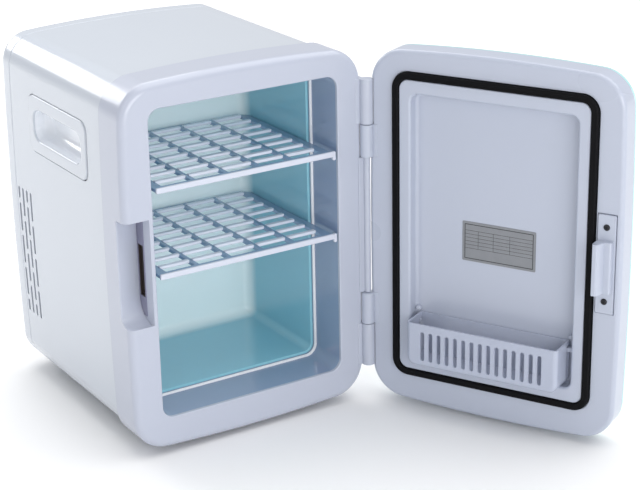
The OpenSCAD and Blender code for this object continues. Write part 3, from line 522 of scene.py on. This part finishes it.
def dress(piece, name, look, body, nodes=(), bevel=0.0, segments=3, sharp=38, on_door=False):
    """Names a scratch object, scales it to metres, smooths it and puts it on its body."""
    piece.name = name
    piece.data.name = name
    if on_door:
        piece.data.transform(DOOR_TURN)
    piece.data.transform(Matrix.Scale(MM, 4))
    bm = bmesh.new()
    bm.from_mesh(piece.data)
    bmesh.ops.remove_doubles(bm, verts=bm.verts, dist=0.00001)
    bmesh.ops.dissolve_degenerate(bm, edges=bm.edges, dist=0.00001)
    for face in bm.faces:
        face.smooth = True
    for edge in bm.edges:
        edge.smooth = len(edge.link_faces) == 2 and edge.calc_face_angle(0) < math.radians(sharp)
    bm.to_mesh(piece.data)
    bm.free()
    piece.data.materials.clear()
    for each in look if isinstance(look, (list, tuple)) else [look]:
        piece.data.materials.append(LOOKS[each])
    if bevel:
        modifier = piece.modifiers.new("edges", "BEVEL")
        modifier.width = bevel * MM
        modifier.segments = segments
        modifier.limit_method = "ANGLE"
        modifier.angle_limit = math.radians(sharp)
        modifier.use_clamp_overlap = True
        modifier.harden_normals = False
    modifier = piece.modifiers.new("normals", "WEIGHTED_NORMAL")
    modifier.keep_sharp = True
    modifier.weight = 80
    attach(piece, body)
    if nodes:
        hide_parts(*nodes)
    return piece


def insets(pairs, ring):
    return [ring(inset, y) for inset, y in pairs]


# ---------- cabinet ----------

def side_prism(bm, side, y, z, points):
    """A prism through one side of the shell, on an outline about (y, z)."""
    loft(bm, [[Vector((side * x, y + a, z + b)) for a, b in points] for x in SIDE_CUT])


def side_openings(bm):
    for side in (-1, 1):
        side_prism(bm, side, CUP_Y - 0.5, CUP_Z, outline(CUP_L + 2.2, CUP_H + 1.4, CUP_R + 0.7))
        for y, z, length in vent_places():
            side_prism(bm, side, y, z, slot_points(length, VENT_W))


def make_outer_shell():
    front = FRONT_Y + COLLAR_D - 12
    profile = [(0, front), (0, COVER_Y - 0.6), (0.4, COVER_Y - 0.1), (SHELL_T, COVER_Y - 0.1),
               (SHELL_T, front)]
    shell = solid(lambda bm: loft(bm, insets(profile, shell_ring), loop=True))
    combine(shell, side_openings)
    dress(shell, "outer_shell_skin", "shell_white", "cabinet", ["outer_shell"], bevel=0.35,
          segments=2)


def make_vent_shade_sheets():
    """Painted shade: a dark sheet behind each group of vents keeps the slots dark and hides the cooling
    unit.
    """
    for side, name in ((-1, "vent_shade_sheet_left"), (1, "vent_shade_sheet_right")):
        x = sorted((side * SHADE_SHEET_X, side * (SHADE_SHEET_X + SHADE_SHEET_T)))
        shade_sheet = solid(lambda bm: soft_block(bm, (x[0], COVER_Y - 39, VENT_Z - 4),
                                             (x[1], COVER_Y - 1, VENT_Z + 130), 0.3, 2, "x"))
        dress(shade_sheet, name, "black_plastic", "cabinet")


def vent_places():
    """Middle and length of every vent slot in a side, in staggered columns."""
    run = VENT_ROWS * VENT_L + (VENT_ROWS - 1) * VENT_GAP
    short = (run - (VENT_ROWS - 1) * VENT_L - VENT_ROWS * VENT_GAP) / 2
    for column in range(VENT_COLUMNS):
        y = COVER_Y - 5 - VENT_PITCH * column
        staggered = [short] + [VENT_L] * (VENT_ROWS - 1) + [short]
        lengths = [VENT_L] * VENT_ROWS if column % 2 else staggered
        z = VENT_Z
        for length in lengths:
            yield y, z + length / 2, length
            z += length + VENT_GAP


def notch_ring(height, reach):
    """The notch at one height; reach is how far back it goes there."""
    left, slope = -BODY_W / 2 - 5, NOTCH_X + 1.4
    near = min(reach, NOTCH_SIDE_D)
    corners = [(left, -5), (slope, -5), (slope, 0), (NOTCH_X, min(9, reach * 0.6)), (NOTCH_X, reach),
               (-BODY_W / 2 + 2, near), (left, near)]
    return [Vector((x, FRONT_Y + depth, height)) for x, depth in corners]


def notch_solid(bm):
    """The finger notch; its back curves up to the bezel at the lower end."""
    rings = []
    for i in range(1, NOTCH_CUTS + 1):
        turn = math.pi / 2 * i / NOTCH_CUTS
        rings.append(notch_ring(NOTCH_Z0 + NOTCH_D * (1 - math.cos(turn)), NOTCH_D * math.sin(turn)))
    loft(bm, rings + [notch_ring(NOTCH_Z1, NOTCH_D)])


def knuckle(bm, z0, length, r, edge=0.7):
    profile = [(r - inset, z) for inset, z in
               arc(edge, z0 + edge, edge, 270, 180, 3) + arc(edge, z0 + length - edge, edge, 180, 90, 3)]
    turned(bm, profile, (HINGE_X, HINGE_Y, 0), "z", 40)


def strike_slot(bm):
    soft_block(bm, (NOTCH_X - 5, STRIKE_Y0, STRIKE_Z0), (NOTCH_X + 2.4, STRIKE_Y1, STRIKE_Z1), 0.8, axis="x")


def cabinet_hinge_parts(bm):
    """The cabinet's knuckles, the bead between them, and the webs that join them to the collar."""
    knuckle(bm, CAB_LOW, KNUCKLE_CAB, KNUCKLE_R)
    knuckle(bm, CAB_HIGH, KNUCKLE_CAB, KNUCKLE_R)
    knuckle(bm, BEAD_LOW, BEAD_HIGH - BEAD_LOW, BEAD_R, 0.4)
    for z in (CAB_LOW, CAB_HIGH):
        soft_block(bm, (HINGE_X - 10, HINGE_Y + 1.4, z), (HINGE_X - 0.4, FRONT_Y + 9, z + KNUCKLE_CAB), 0.6)
    soft_block(bm, (HINGE_X - 8, HINGE_Y + 0.9, BEAD_LOW), (HINGE_X - 0.4, FRONT_Y + 9, BEAD_HIGH), 0.5)


def collar_reliefs(bm):
    """Room in the collar for the door's knuckles."""
    for z in (DOOR_LOW, DOOR_HIGH):
        knuckle(bm, z - KNUCKLE_GAP, KNUCKLE_DOOR + 2 * KNUCKLE_GAP, KNUCKLE_R + 0.5, 0.1)


def make_front_collar():
    back = FRONT_Y + COLLAR_D
    inner_back = FRONT_Y + 27
    lip = 1.0
    skin = ([(COLLAR_T, inner_back), (COLLAR_T, back - 0.4), (COLLAR_T - 0.4, back)]
            + arc(1, back - 1, 1, 90, 180, 3)
            + arc(COLLAR_EDGE, FRONT_Y + COLLAR_EDGE, COLLAR_EDGE, 180, 270, 10))
    hole = (arc(lip, FRONT_Y + lip, lip, 270, 180, 4)
            + [(0, FRONT_Y + BEZEL_T), (SLEEVE_T + 0.3, FRONT_Y + BEZEL_T), (SLEEVE_T + 0.3, inner_back)])
    collar = solid(lambda bm: loft(bm, insets(skin, body_ring) + insets(hole, open_ring), loop=True))
    combine(collar, notch_solid)
    combine(collar, strike_slot)
    combine(collar, cabinet_hinge_parts, "UNION")
    combine(collar, collar_reliefs)
    dress(collar, "front_collar_bezel", "bezel_white", "cabinet", ["front_collar"], bevel=0.9)


def make_notch_grey_strip():
    """A darker grey strip over the back of the notch's inner wall, with the slot in it."""
    plate = solid(lambda bm: soft_block(
        bm, (NOTCH_X - 0.5, FRONT_Y + 9.5, NOTCH_Z0 + 6), (NOTCH_X + 0.4, FRONT_Y + 21.8, NOTCH_Z1),
        0.1, 0.5, "x"))
    combine(plate, lambda bm: soft_block(
        bm, (NOTCH_X - 2, STRIKE_Y0, STRIKE_Z0), (NOTCH_X + 2, STRIKE_Y1, STRIKE_Z1), 0.1, 0.6, "x"))
    dress(plate, "notch_grey_strip", "notch_grey", "cabinet")


def make_sleeve():
    back = LINER_Y0
    inner = [(0, FRONT_Y + BEZEL_T + 0.1), (0, back - 2.2)] + arc(-1.6, back - 1.6, 1.6, 0, 90, 4)
    rings = insets([(SLEEVE_T, back), (SLEEVE_T, FRONT_Y + BEZEL_T + 0.1)] + inner, open_ring)
    sleeve = solid(lambda bm: loft(bm, rings, loop=True))
    dress(sleeve, "entry_sleeve_wall", "sleeve_grey", "cabinet", ["entry_sleeve"])

    # Painted highlight: a near-white bead round the back of the sleeve stands for the bright highlight on
    # the liner's rounded front edge.
    def bead(bm):
        profile = arc(-0.6, back - 2.6, 1.5, 0, 324, 9)
        loft(bm, insets(profile, open_ring), loop=True)

    dress(solid(bead), "entry_sleeve_highlight_bead", "lip_white", "cabinet")


def shelf_ledges(bm):
    for z in SHELF_HEIGHTS:
        for side in (-1, 1):
            x = sorted((side * (OPEN_W / 2 - STEP - 2.6), side * (OPEN_W / 2 - STEP + 0.8)))
            soft_block(bm, (x[0], LINER_Y0 + 3, z - 6.4), (x[1], LINER_Y1 - 6, z - 3.9), 1.0)


def make_liner():
    fillet, wall = LINER_FILLET, LINER_WALL
    front = [(SLEEVE_T, LINER_Y0 + 2), (SLEEVE_T, LINER_Y0 + 0.05), (0.2, LINER_Y0 + 0.05)]
    inner = ([(-STEP + 1.0, LINER_Y0 + 0.05), (-STEP + 0.3, LINER_Y0 + 0.35), (-STEP, LINER_Y0 + 1.0),
              (-STEP, LINER_Y0 + 30), (-STEP, LINER_Y1 - fillet)]
             + arc(-STEP - fillet, LINER_Y1 - fillet, fillet, 0, 90, 8)[1:])
    outer = [(-STEP - fillet - 4, LINER_Y1 + wall), (-STEP - 2, LINER_Y1 + wall),
             (-STEP + wall, LINER_Y1 - 4), (-STEP + wall, LINER_Y0 + 2)]
    liner = solid(lambda bm: loft(bm, insets(outer + front + inner, open_ring)))
    combine(liner, shelf_ledges, "UNION")
    dress(liner, "liner_tub", "liner_mint", "cabinet", ["liner"])


def shell_face(z):
    """How far the crowned shell reaches sideways at height z."""
    return SHELL_W / 2 - CROWN_SIDE + CROWN_SIDE * (1 - (2 * (z - MID_Z) / SHELL_H) ** 2)


def cup_sections():
    """Length, height, corner radius, depth and lift of each outline of a handle cup, from the back round
    the plate's edge and lip into the pocket."""
    rise = POCKET_RISE
    outside = [(POCKET_L + 4, POCKET_H + rise + 4, 7, -POCKET_D - 2, rise / 2),
               (POCKET_L + 4, POCKET_H + rise + 4, 7, -6, rise / 2),
               (CUP_L, CUP_H, CUP_R, -6, 0)]
    edge = [(CUP_L - 2 * i, CUP_H - 2 * i, CUP_R - i, depth, 0)
            for i, depth in arc(1.4, -1.0, 1.4, 180, 90, 4)]
    lip = [(POCKET_L + 2 * i, POCKET_H + 2 * i, 11 + i, depth, 0)
           for i, depth in arc(1.6, -1.2, 1.6, 90, 180, 5)]
    wall = [(POCKET_L, POCKET_H, 11, -3.4, 0), (POCKET_L - 1, POCKET_H + rise - 1, 12, -5.5, rise / 2)]
    floor = [(POCKET_L - 1 - 2 * i, POCKET_H + rise - 1 - 2 * i, 12 - i / 2, depth, rise / 2)
             for i, depth in arc(9, -POCKET_D + 9, 9, 180, 270, 8)]
    return outside + edge + lip + wall + floor


def make_handle_cup(side, name):
    def place(a, z, depth):
        return Vector((side * (shell_face(z) + 0.5 + depth), CUP_Y + a, z))

    rings = [[place(a, CUP_Z + b + lift, depth) for a, b in outline(length, height, r)]
             for length, height, r, depth, lift in cup_sections()]
    cup = dress(solid(lambda bm: loft(bm, rings)), name + "_moulding", ["shell_white", "pocket_painted_light"],
                "cabinet", [name])
    # Painted light: faces sunk into the pocket get the lighter colour, while the cup's face keeps the
    # shell's.
    for face in cup.data.polygons:
        if abs(face.center.x) < (shell_face(face.center.z / MM) - 1.2) * MM:
            face.material_index = 1


def rear_prism(bm, points):
    """A prism through the rear cover."""
    prism(bm, points, BACK_Y - 6, BACK_Y + 2, "y")


def grille_slots(bm):
    """Rings of curved slots, with straight spokes between them."""
    sector = 360 // GRILLE_SECTORS
    for k in range(GRILLE_RINGS):
        inner = GRILLE_R + GRILLE_PITCH * k
        outer = inner + GRILLE_SLOT
        lean_in = math.degrees(math.asin(GRILLE_SPOKE / 2 / inner))
        lean_out = math.degrees(math.asin(GRILLE_SPOKE / 2 / outer))
        for start in range(0, 360, sector):
            end = start + sector
            rear_prism(bm, arc(0, COOL_Z, outer, start + lean_out, end - lean_out, 6)
                       + arc(0, COOL_Z, inner, end - lean_in, start + lean_in, 6))


def rear_openings(bm):
    grille_slots(bm)
    for x, w, h, r in ((MAINS_X, 28.4, 20.4, 3), (SWITCH_X, 19.4, 13.4, 1)):
        rear_prism(bm, [(x + a, REAR_ROW_Z + b) for a, b in outline(w, h, r)])
    rear_prism(bm, arc(CAR_X, REAR_ROW_Z, 9.2, 0, 360 - 7.5, 47))


def make_rear_cover():
    inside = (arc(COVER_EDGE, BACK_Y - COVER_EDGE, COVER_EDGE - SHELL_T, 90, 180, 6)
              + [(SHELL_T, COVER_Y + 0.1)])
    outside = ([(0.5, COVER_Y + 0.1), (0, COVER_Y + 0.6)]
               + arc(COVER_EDGE, BACK_Y - COVER_EDGE, COVER_EDGE, 180, 90, 10))
    cover = solid(lambda bm: loft(bm, insets(inside + outside, shell_ring)))
    combine(cover, rear_openings)
    dress(cover, "rear_cover_shell", "shell_white", "cabinet", ["rear_cover"], bevel=0.4,
          segments=2)


# ---------- shelves ----------

def shelf_outline(half, y0, y1):
    """The shelf seen from above: two notched corners and a tab at the back."""
    return [(-half, y0 + 1), (half, y0 + 1), (half, y1 - 9.5), (half - 8, y1 - 1.5), (30, y1 - 1.5),
            (28, y1), (-28, y1), (-30, y1 - 1.5), (-half + 8, y1 - 1.5), (-half, y1 - 9.5)]


def make_shelf(name):
    low, high = box_mm(name)
    top = high.z - 1.6
    base = top - 3.5
    y0, y1 = low.y + 0.4, high.y
    half = OPEN_W / 2 - STEP - 0.6
    column_w = (2 * half - 2 * SHELF_BORDER - (SHELF_COLUMNS - 1) * SHELF_RIB) / SHELF_COLUMNS
    lefts = [-half + SHELF_BORDER + c * (column_w + SHELF_RIB) for c in range(SHELF_COLUMNS)]
    first = y0 + 20
    pitch = (y1 - 7 - first) / (SHELF_ROWS - 1)

    def gaps(bm):
        for left in lefts:
            soft_block(bm, (left, y0 + 8, base - 2), (left + column_w, y1 - 4, base + SHELF_T + 2),
                       0.1, 1.5, "z")

    def bars(bm):
        for left in lefts:
            for r in range(SHELF_ROWS):
                y = first + r * pitch
                soft_block(bm, (left - 0.6, y - 2.4, top - 2.4), (left + column_w + 0.6, y + 2.4, top + 0.5),
                           0.5, 0.9, "x", 2)

    def lip(bm):
        soft_block(bm, (-half, y0 - 0.4, top - 4.5), (half, y0 + 2.4, top + 0.6), 0.9, axis="x")
        x = half + 1.2
        soft_block(bm, (x - 1.6, y0 - 0.4, top - 7.5), (x + 1.6, y0 + 3, top + 0.6), 0.8, 1.2)

    plate = solid(lambda bm: prism(bm, shelf_outline(half, y0, y1), base, base + SHELF_T))
    combine(plate, gaps)
    dress(plate, name + "_frame", "shelf_frame", name, [name], bevel=0.5, segments=2)
    dress(solid(bars), name + "_slats", "shelf_white", name)
    dress(solid(lip), name + "_lip", "shelf_lip", name)


# ---------- door, drawn shut and turned open ----------

def grown(base):
    """A ring maker for an outline that grows outward from a base (width, height, radius)."""
    w, h, r = base
    return lambda grow, y: flat_ring(w + 2 * grow, h + 2 * grow, max(r + grow, 0.3), y, 0, OPEN_Z)


def door_inner_rings():
    """The inner panel, from inside the door round its edge, across the seal's groove into the recess."""
    gasket, plug, recess = grown(GASKET_MID), grown(PLUG), grown(RECESS)
    floor = DOOR_Y1 - GROOVE_D
    inner_y = floor - DOOR_WALL - 1.5
    outer_half = GASKET_W / 2 + 0.5
    rings = [recess(DOOR_WALL, RECESS_Y - DOOR_WALL), recess(DOOR_WALL, inner_y),
             body_ring(DOOR_WALL, inner_y), body_ring(DOOR_WALL, SEAM_Y), body_ring(0.5, SEAM_Y),
             body_ring(0, SEAM_Y + 0.5)]
    rings += insets(arc(DOOR_EDGE, DOOR_Y1 - DOOR_EDGE, DOOR_EDGE, 180, 90, 8), body_ring)
    rings += insets(arc(outer_half + 0.5, DOOR_Y1 - 0.5, 0.5, 90, 180, 3), gasket)
    rings += [gasket(outer_half, floor), plug(0, floor)]
    rings += insets([(-i, y) for i, y in arc(1.0, DOOR_Y1 + PLUG_D - 1.0, 1.0, 180, 90, 4)], plug)
    rings += insets(arc(2.5, DOOR_Y1 + PLUG_D - 2.5, 2.5, 90, 180, 6), recess)
    rings += insets([(-i, y) for i, y in arc(3.5, RECESS_Y + 3.5, 3.5, 180, 270, 6)], recess)
    return rings


def door_hinge_parts(bm):
    for z in (DOOR_LOW, DOOR_HIGH):
        knuckle(bm, z, KNUCKLE_DOOR, KNUCKLE_R)
        soft_block(bm, (HINGE_X - 10, DOOR_Y1 - DOOR_EDGE - 2, z),
                   (HINGE_X - 0.4, HINGE_Y - 1.4, z + KNUCKLE_DOOR), 0.6)


def bin_hooks(bm):
    """The two bosses that the bin hangs on, and a small stop above each end of it."""
    for side in (-1, 1):
        x = sorted((side * (BIN_W / 2 - 2.2), side * (RECESS[0] / 2 + 1)))
        soft_block(bm, (x[0], RECESS_Y + 2.8, BIN_TOP - 9), (x[1], RECESS_Y + 7.2, BIN_TOP - 5), 0.8)
        x = side * (BIN_W / 2 + 1.6)
        soft_block(bm, (x - 2.4, RECESS_Y - 1, BIN_TOP + 1.2), (x + 2.4, RECESS_Y + 4, BIN_TOP + 5.4),
                   1.2, 2)


def catch_seat(bm):
    soft_block(bm, (CATCH_X0 - 0.8, DOOR_Y1 - 1.6, CATCH_Z0 - 0.8),
               (CATCH_X1 + 0.8, DOOR_Y1 + 3, CATCH_Z0 + CATCH_LEN + 0.8), 0.2)


def make_door_inner():
    panel = solid(lambda bm: loft(bm, door_inner_rings()))
    combine(panel, door_hinge_parts, "UNION")
    combine(panel, door_reliefs)
    combine(panel, bin_hooks, "UNION")
    combine(panel, catch_seat)
    dress(panel, "door_inner_moulding", "door_white", "door", ["door_inner_panel"], bevel=0.35,
          segments=2, sharp=42, on_door=True)


def door_reliefs(bm):
    """Room in the door for the cabinet's knuckles and bead."""
    for z in (CAB_LOW, CAB_HIGH):
        knuckle(bm, z - KNUCKLE_GAP, KNUCKLE_CAB + 2 * KNUCKLE_GAP, KNUCKLE_R + 0.5, 0.1)
    knuckle(bm, BEAD_LOW - KNUCKLE_GAP, BEAD_HIGH - BEAD_LOW + 2 * KNUCKLE_GAP, BEAD_R + 0.6, 0.1)


def make_door_front():
    edge = 7
    inside = [(edge, SEAM_Y - FRONT_T + DOOR_WALL), (edge, SEAM_Y)]
    outside = [(0.5, SEAM_Y), (0, SEAM_Y - 0.5)] + arc(edge, DOOR_Y0 + edge, edge, 180, 270, 10)
    panel = solid(lambda bm: loft(bm, insets(inside + outside, body_ring)))
    combine(panel, door_reliefs)
    dress(panel, "door_front_moulding", "panel_mint", "door", ["door_front_panel"],
          on_door=True)


def make_gasket():
    low, top = DOOR_Y1 - GROOVE_D, FRONT_Y - 0.3
    half = GASKET_W / 2
    profile = ([(-half, low + 0.1), (half, low + 0.1), (half, top - 2.2)]
               + arc(half - 1.6, top - 1.6, 1.6, 0, 90, 4) + [(0, top - 0.5)]
               + arc(-half + 1.6, top - 1.6, 1.6, 90, 180, 4) + [(-half, top - 2.2)])
    ring = solid(lambda bm: loft(bm, insets(profile, grown(GASKET_MID)), loop=True))
    dress(ring, "door_gasket_seal", "gasket_black", "door", ["door_gasket"], on_door=True)


def make_catch():
    y0, top = DOOR_Y1, DOOR_Y1 + 15

    def plate(bm):
        soft_block(bm, (CATCH_X0, y0 - 1.5, CATCH_Z0), (CATCH_X1, y0 + 1.4, CATCH_Z0 + CATCH_LEN), 0.4, 1.2)

    catch = solid(plate)

    def ridge(bm):
        prism(bm, [(CATCH_X0 + 2, y0), (CATCH_X0 + 2, y0 + 5.5), (CATCH_X0 + 3, y0 + 6.5),
                   (CATCH_X1 - 8, y0 + 6.5), (CATCH_X1 - 5.5, top - 1), (CATCH_X1 - 4, top),
                   (CATCH_X1 - 1, top), (CATCH_X1 - 0.1, top - 2), (CATCH_X1 - 0.1, y0)],
              CATCH_MID_Z - RIDGE_HALF, CATCH_MID_Z + RIDGE_HALF)

    combine(catch, ridge, "UNION")
    dress(catch, "latch_catch_moulding", "door_white", "door", ["latch_catch"], bevel=0.25,
          segments=2, sharp=20, on_door=True)


def screw_head(bm, x, y, z, r, height):
    """A low domed head that faces +Y."""
    profile = [(r, 0), (r, height * 0.45), (r * 0.9, height * 0.75), (r * 0.65, height * 0.94),
               (r * 0.3, height)]
    turned(bm, profile, (x, y, z), "y", 24)


def cross(bm, x, y, z, r, depth):
    """The two arms of a cross recess."""
    arm = r * 0.16
    soft_block(bm, (x - r, y - depth, z - arm), (x + r, y + depth, z + arm), 0.05)
    soft_block(bm, (x - arm, y - depth, z - r), (x + arm, y + depth, z + r), 0.05)


def make_screws(name, places, r, height, body, node, on_door=False):
    heads = solid(lambda bm: [screw_head(bm, *p, r, height) for p in places])
    combine(heads, lambda bm: [cross(bm, x, y + height, z, r * 0.55, height * 0.5) for x, y, z in places])
    dress(heads, name, "steel_dark", body, [node], on_door=on_door)


def make_catch_screws():
    x = (CATCH_X0 + CATCH_X1) / 2
    places = [(x, DOOR_Y1 + 1.3, CATCH_Z0 + up) for up in CATCH_SCREWS]
    make_screws("catch_screw_heads", places, CATCH_HEAD_R, 1.4, "door", "catch_screws", True)


def make_cover_screws():
    low, high = box_mm("cover_screws")
    r = COVER_HEAD_R
    places = [(x, BACK_Y, z) for x in (low.x + r, high.x - r) for z in (low.z + r, high.z - r)]
    make_screws("cover_screw_heads", places, r, 1.8, "cabinet", "cover_screws")


def plate_rules(bm):
    """A border and a table of plain ruled lines."""
    def line(x0, z0, x1, z1):
        soft_block(bm, (x0, RECESS_Y + 0.35, z0), (x1, RECESS_Y + 0.5, z1), 0.05)

    w, thin = RULE_W, HAIRLINE
    left, right, low, high = PLATE_X0 + 2.2, PLATE_X1 - 2.2, PLATE_Z0 + 2.2, PLATE_Z1 - 2.2
    line(left, high - w, right, high)
    line(left, low, right, low + w)
    line(left, low + w, left + w, high - w)
    line(right - w, low + w, right, high - w)
    table_top, table_low = high - 6, low + 10
    for k in range(PLATE_ROWS):
        z = table_low + (table_top - table_low) * k / (PLATE_ROWS - 1)
        line(left + w, z - thin, right - w, z + thin)
    for share in PLATE_COLUMNS:
        x = left + (right - left) * share
        line(x - thin, table_low, x + thin, table_top)


def make_rating_plate():
    film = solid(lambda bm: soft_block(bm, (PLATE_X0, RECESS_Y - 0.05, PLATE_Z0),
                                       (PLATE_X1, RECESS_Y + 0.4, PLATE_Z1), 0.12, 1.2))
    dress(film, "rating_plate_film", "plate_silver", "door", ["rating_plate"], on_door=True)
    dress(solid(plate_rules), "rating_plate_rules", "plate_ink", "door", on_door=True)


def tray(half, z0, z1, r, y):
    """Front view of the bin: square above, rounded at its two lower corners."""
    right = arc(half - r, z0 + r, r, 270, 360, 8)
    left = arc(-half + r, z0 + r, r, 180, 270, 8)
    points = right + [(half, z1), (-half, z1)] + left
    return [Vector((x, y, z)) for x, z in points]


def bin_outside(bm):
    back, front, half = BIN_BACK, BIN_FRONT, BIN_W / 2
    rings = [tray(half, BIN_Z0, BIN_TOP, BIN_R, back), tray(half, BIN_Z0, BIN_TOP, BIN_R, front - BIN_EDGE)]
    for i, y in arc(BIN_EDGE, front - BIN_EDGE, BIN_EDGE, 180, 90, 5)[1:]:
        rings.append(tray(half - i, BIN_Z0 + i, BIN_TOP, BIN_R - i, y))
    loft(bm, rings)


def bin_hollow(bm):
    t, half, top = BIN_T, BIN_W / 2, BIN_TOP + 2
    loft(bm, [tray(half - t, BIN_Z0 + t, top, BIN_R - t, BIN_BACK + t),
              tray(half - t, BIN_Z0 + t, top, BIN_R - t, BIN_FRONT - BIN_EDGE),
              tray(half - t - 0.6, BIN_Z0 + t + 0.6, top, 6, BIN_FRONT - t)])


def bin_slots(bm):
    """The row of slots in the front, and a slot at each end for the boss that holds the bin."""
    length = BIN_H - 13
    for k in range(BIN_SLOTS):
        x = (k - (BIN_SLOTS - 1) / 2) * (BIN_W - 32) / (BIN_SLOTS - 1)
        prism(bm, slot_points(length, 4, x, BIN_Z0 + 6 + length / 2), BIN_FRONT - 4, BIN_FRONT + 1, "y")
    for side in (-1, 1):
        x = side * BIN_W / 2
        soft_block(bm, (x - 3, RECESS_Y + 2.2, BIN_Z0 - 1), (x + 3, RECESS_Y + 7.8, BIN_TOP - 4.5), 0.8)


def make_bin():
    tub = solid(bin_outside)
    combine(tub, bin_hollow)
    combine(tub, bin_slots)
    dress(tub, "door_bin_tray", "bin_white", "door_bin", ["door_bin"], bevel=0.45,
          segments=2, on_door=True)


# ---------- CAD nodes that keep their shape ----------

NODE_LOOKS = {
    "foam_insulation": "foam", "door_foam": "foam", "latch_pocket": "slot_dark", "feet": "rubber",
    "hinge_pin_upper": "steel", "hinge_pin_lower": "steel", "cold_block": "aluminium",
    "thermoelectric_module": "ceramic", "module_screws": "steel_dark", "heat_sink": "aluminium",
    "fan_frame": "black_plastic", "fan_screws": "steel_dark", "fan_rotor": "black_plastic",
    "power_board": "board", "mains_inlet": "black_plastic", "car_inlet": "black_plastic",
    "switch_housing": "black_plastic", "mode_rocker": "black_plastic",
}
SOFT_EDGES = ("feet", "fan_frame", "mains_inlet", "car_inlet", "switch_housing", "mode_rocker")


def dress_nodes():
    for name, look in NODE_LOOKS.items():
        node = frame["nodes"][name]
        node.data.materials.clear()
        node.data.materials.append(LOOKS[look])
        if name in SOFT_EDGES:
            modifier = node.modifiers.new("edges", "BEVEL")
            modifier.width = 0.4 * MM
            modifier.segments = 2
            modifier.limit_method = "ANGLE"
            modifier.angle_limit = math.radians(40)


# ---------- stage ----------

def add_floor():
    bm = bmesh.new()
    bmesh.ops.create_grid(bm, x_segments=1, y_segments=1, size=8)
    mesh = bpy.data.meshes.new("floor")
    bm.to_mesh(mesh)
    bm.free()
    floor = bpy.data.objects.new("floor", mesh)
    bpy.context.scene.collection.objects.link(floor)
    look = Look("floor", (0.9, 0.9, 0.9), 0.6)
    look.mottle(3, 0.01)
    mesh.materials.append(look.material)


def add_softbox(name, place, target, width, height, power):
    data = bpy.data.lights.new(name, "AREA")
    data.shape = "RECTANGLE"
    data.size, data.size_y = width, height
    data.energy = power
    light = bpy.data.objects.new(name, data)
    light.location = place
    light.rotation_euler = (Vector(target) - Vector(place)).to_track_quat("-Z", "Y").to_euler()
    bpy.context.scene.collection.objects.link(light)


def add_sky(source, energy, width):
    """A wide sun that shines from the direction source; width is its angle in degrees."""
    data = bpy.data.lights.new("sky", "SUN")
    data.energy = energy
    data.angle = math.radians(width)
    sky = bpy.data.objects.new("sky", data)
    sky.rotation_euler = Vector(source).to_track_quat("Z", "Y").to_euler()
    bpy.context.scene.collection.objects.link(sky)


def add_lights():
    middle = (0, 0, 0.17)
    add_sky((0.35, -0.05, 1), 1.9, 70)
    add_softbox("left_light", (-1.9, -0.6, 1.0), middle, 1.2, 1.2, 1.5)
    add_softbox("front_light", (-0.2, -2.2, 0.6), middle, 1.4, 1.0, 17)
    add_softbox("back_light", (0.2, 1.5, 1.9), middle, 1.6, 1.0, 12)
    add_softbox("edge_light", (-0.65, 1.9, 1.05), middle, 0.9, 0.7, 10)
    world = bpy.data.worlds.new("studio")
    world.use_nodes = True
    background = world.node_tree.nodes["Background"]
    background.inputs["Color"].default_value = (0.97, 0.98, 1, 1)
    background.inputs["Strength"].default_value = 0.6
    scene = bpy.context.scene
    scene.world = world
    scene.view_settings.view_transform = "Standard"


add_floor()
add_lights()
make_outer_shell()
make_vent_shade_sheets()
make_front_collar()
make_notch_grey_strip()
make_sleeve()
make_liner()
make_handle_cup(-1, "handle_cup_left")
make_handle_cup(1, "handle_cup_right")
make_rear_cover()
make_shelf("upper_shelf")
make_shelf("lower_shelf")
make_door_inner()
make_door_front()
make_gasket()
make_catch()
make_rating_plate()
make_bin()
make_catch_screws()
make_cover_screws()
dress_nodes()
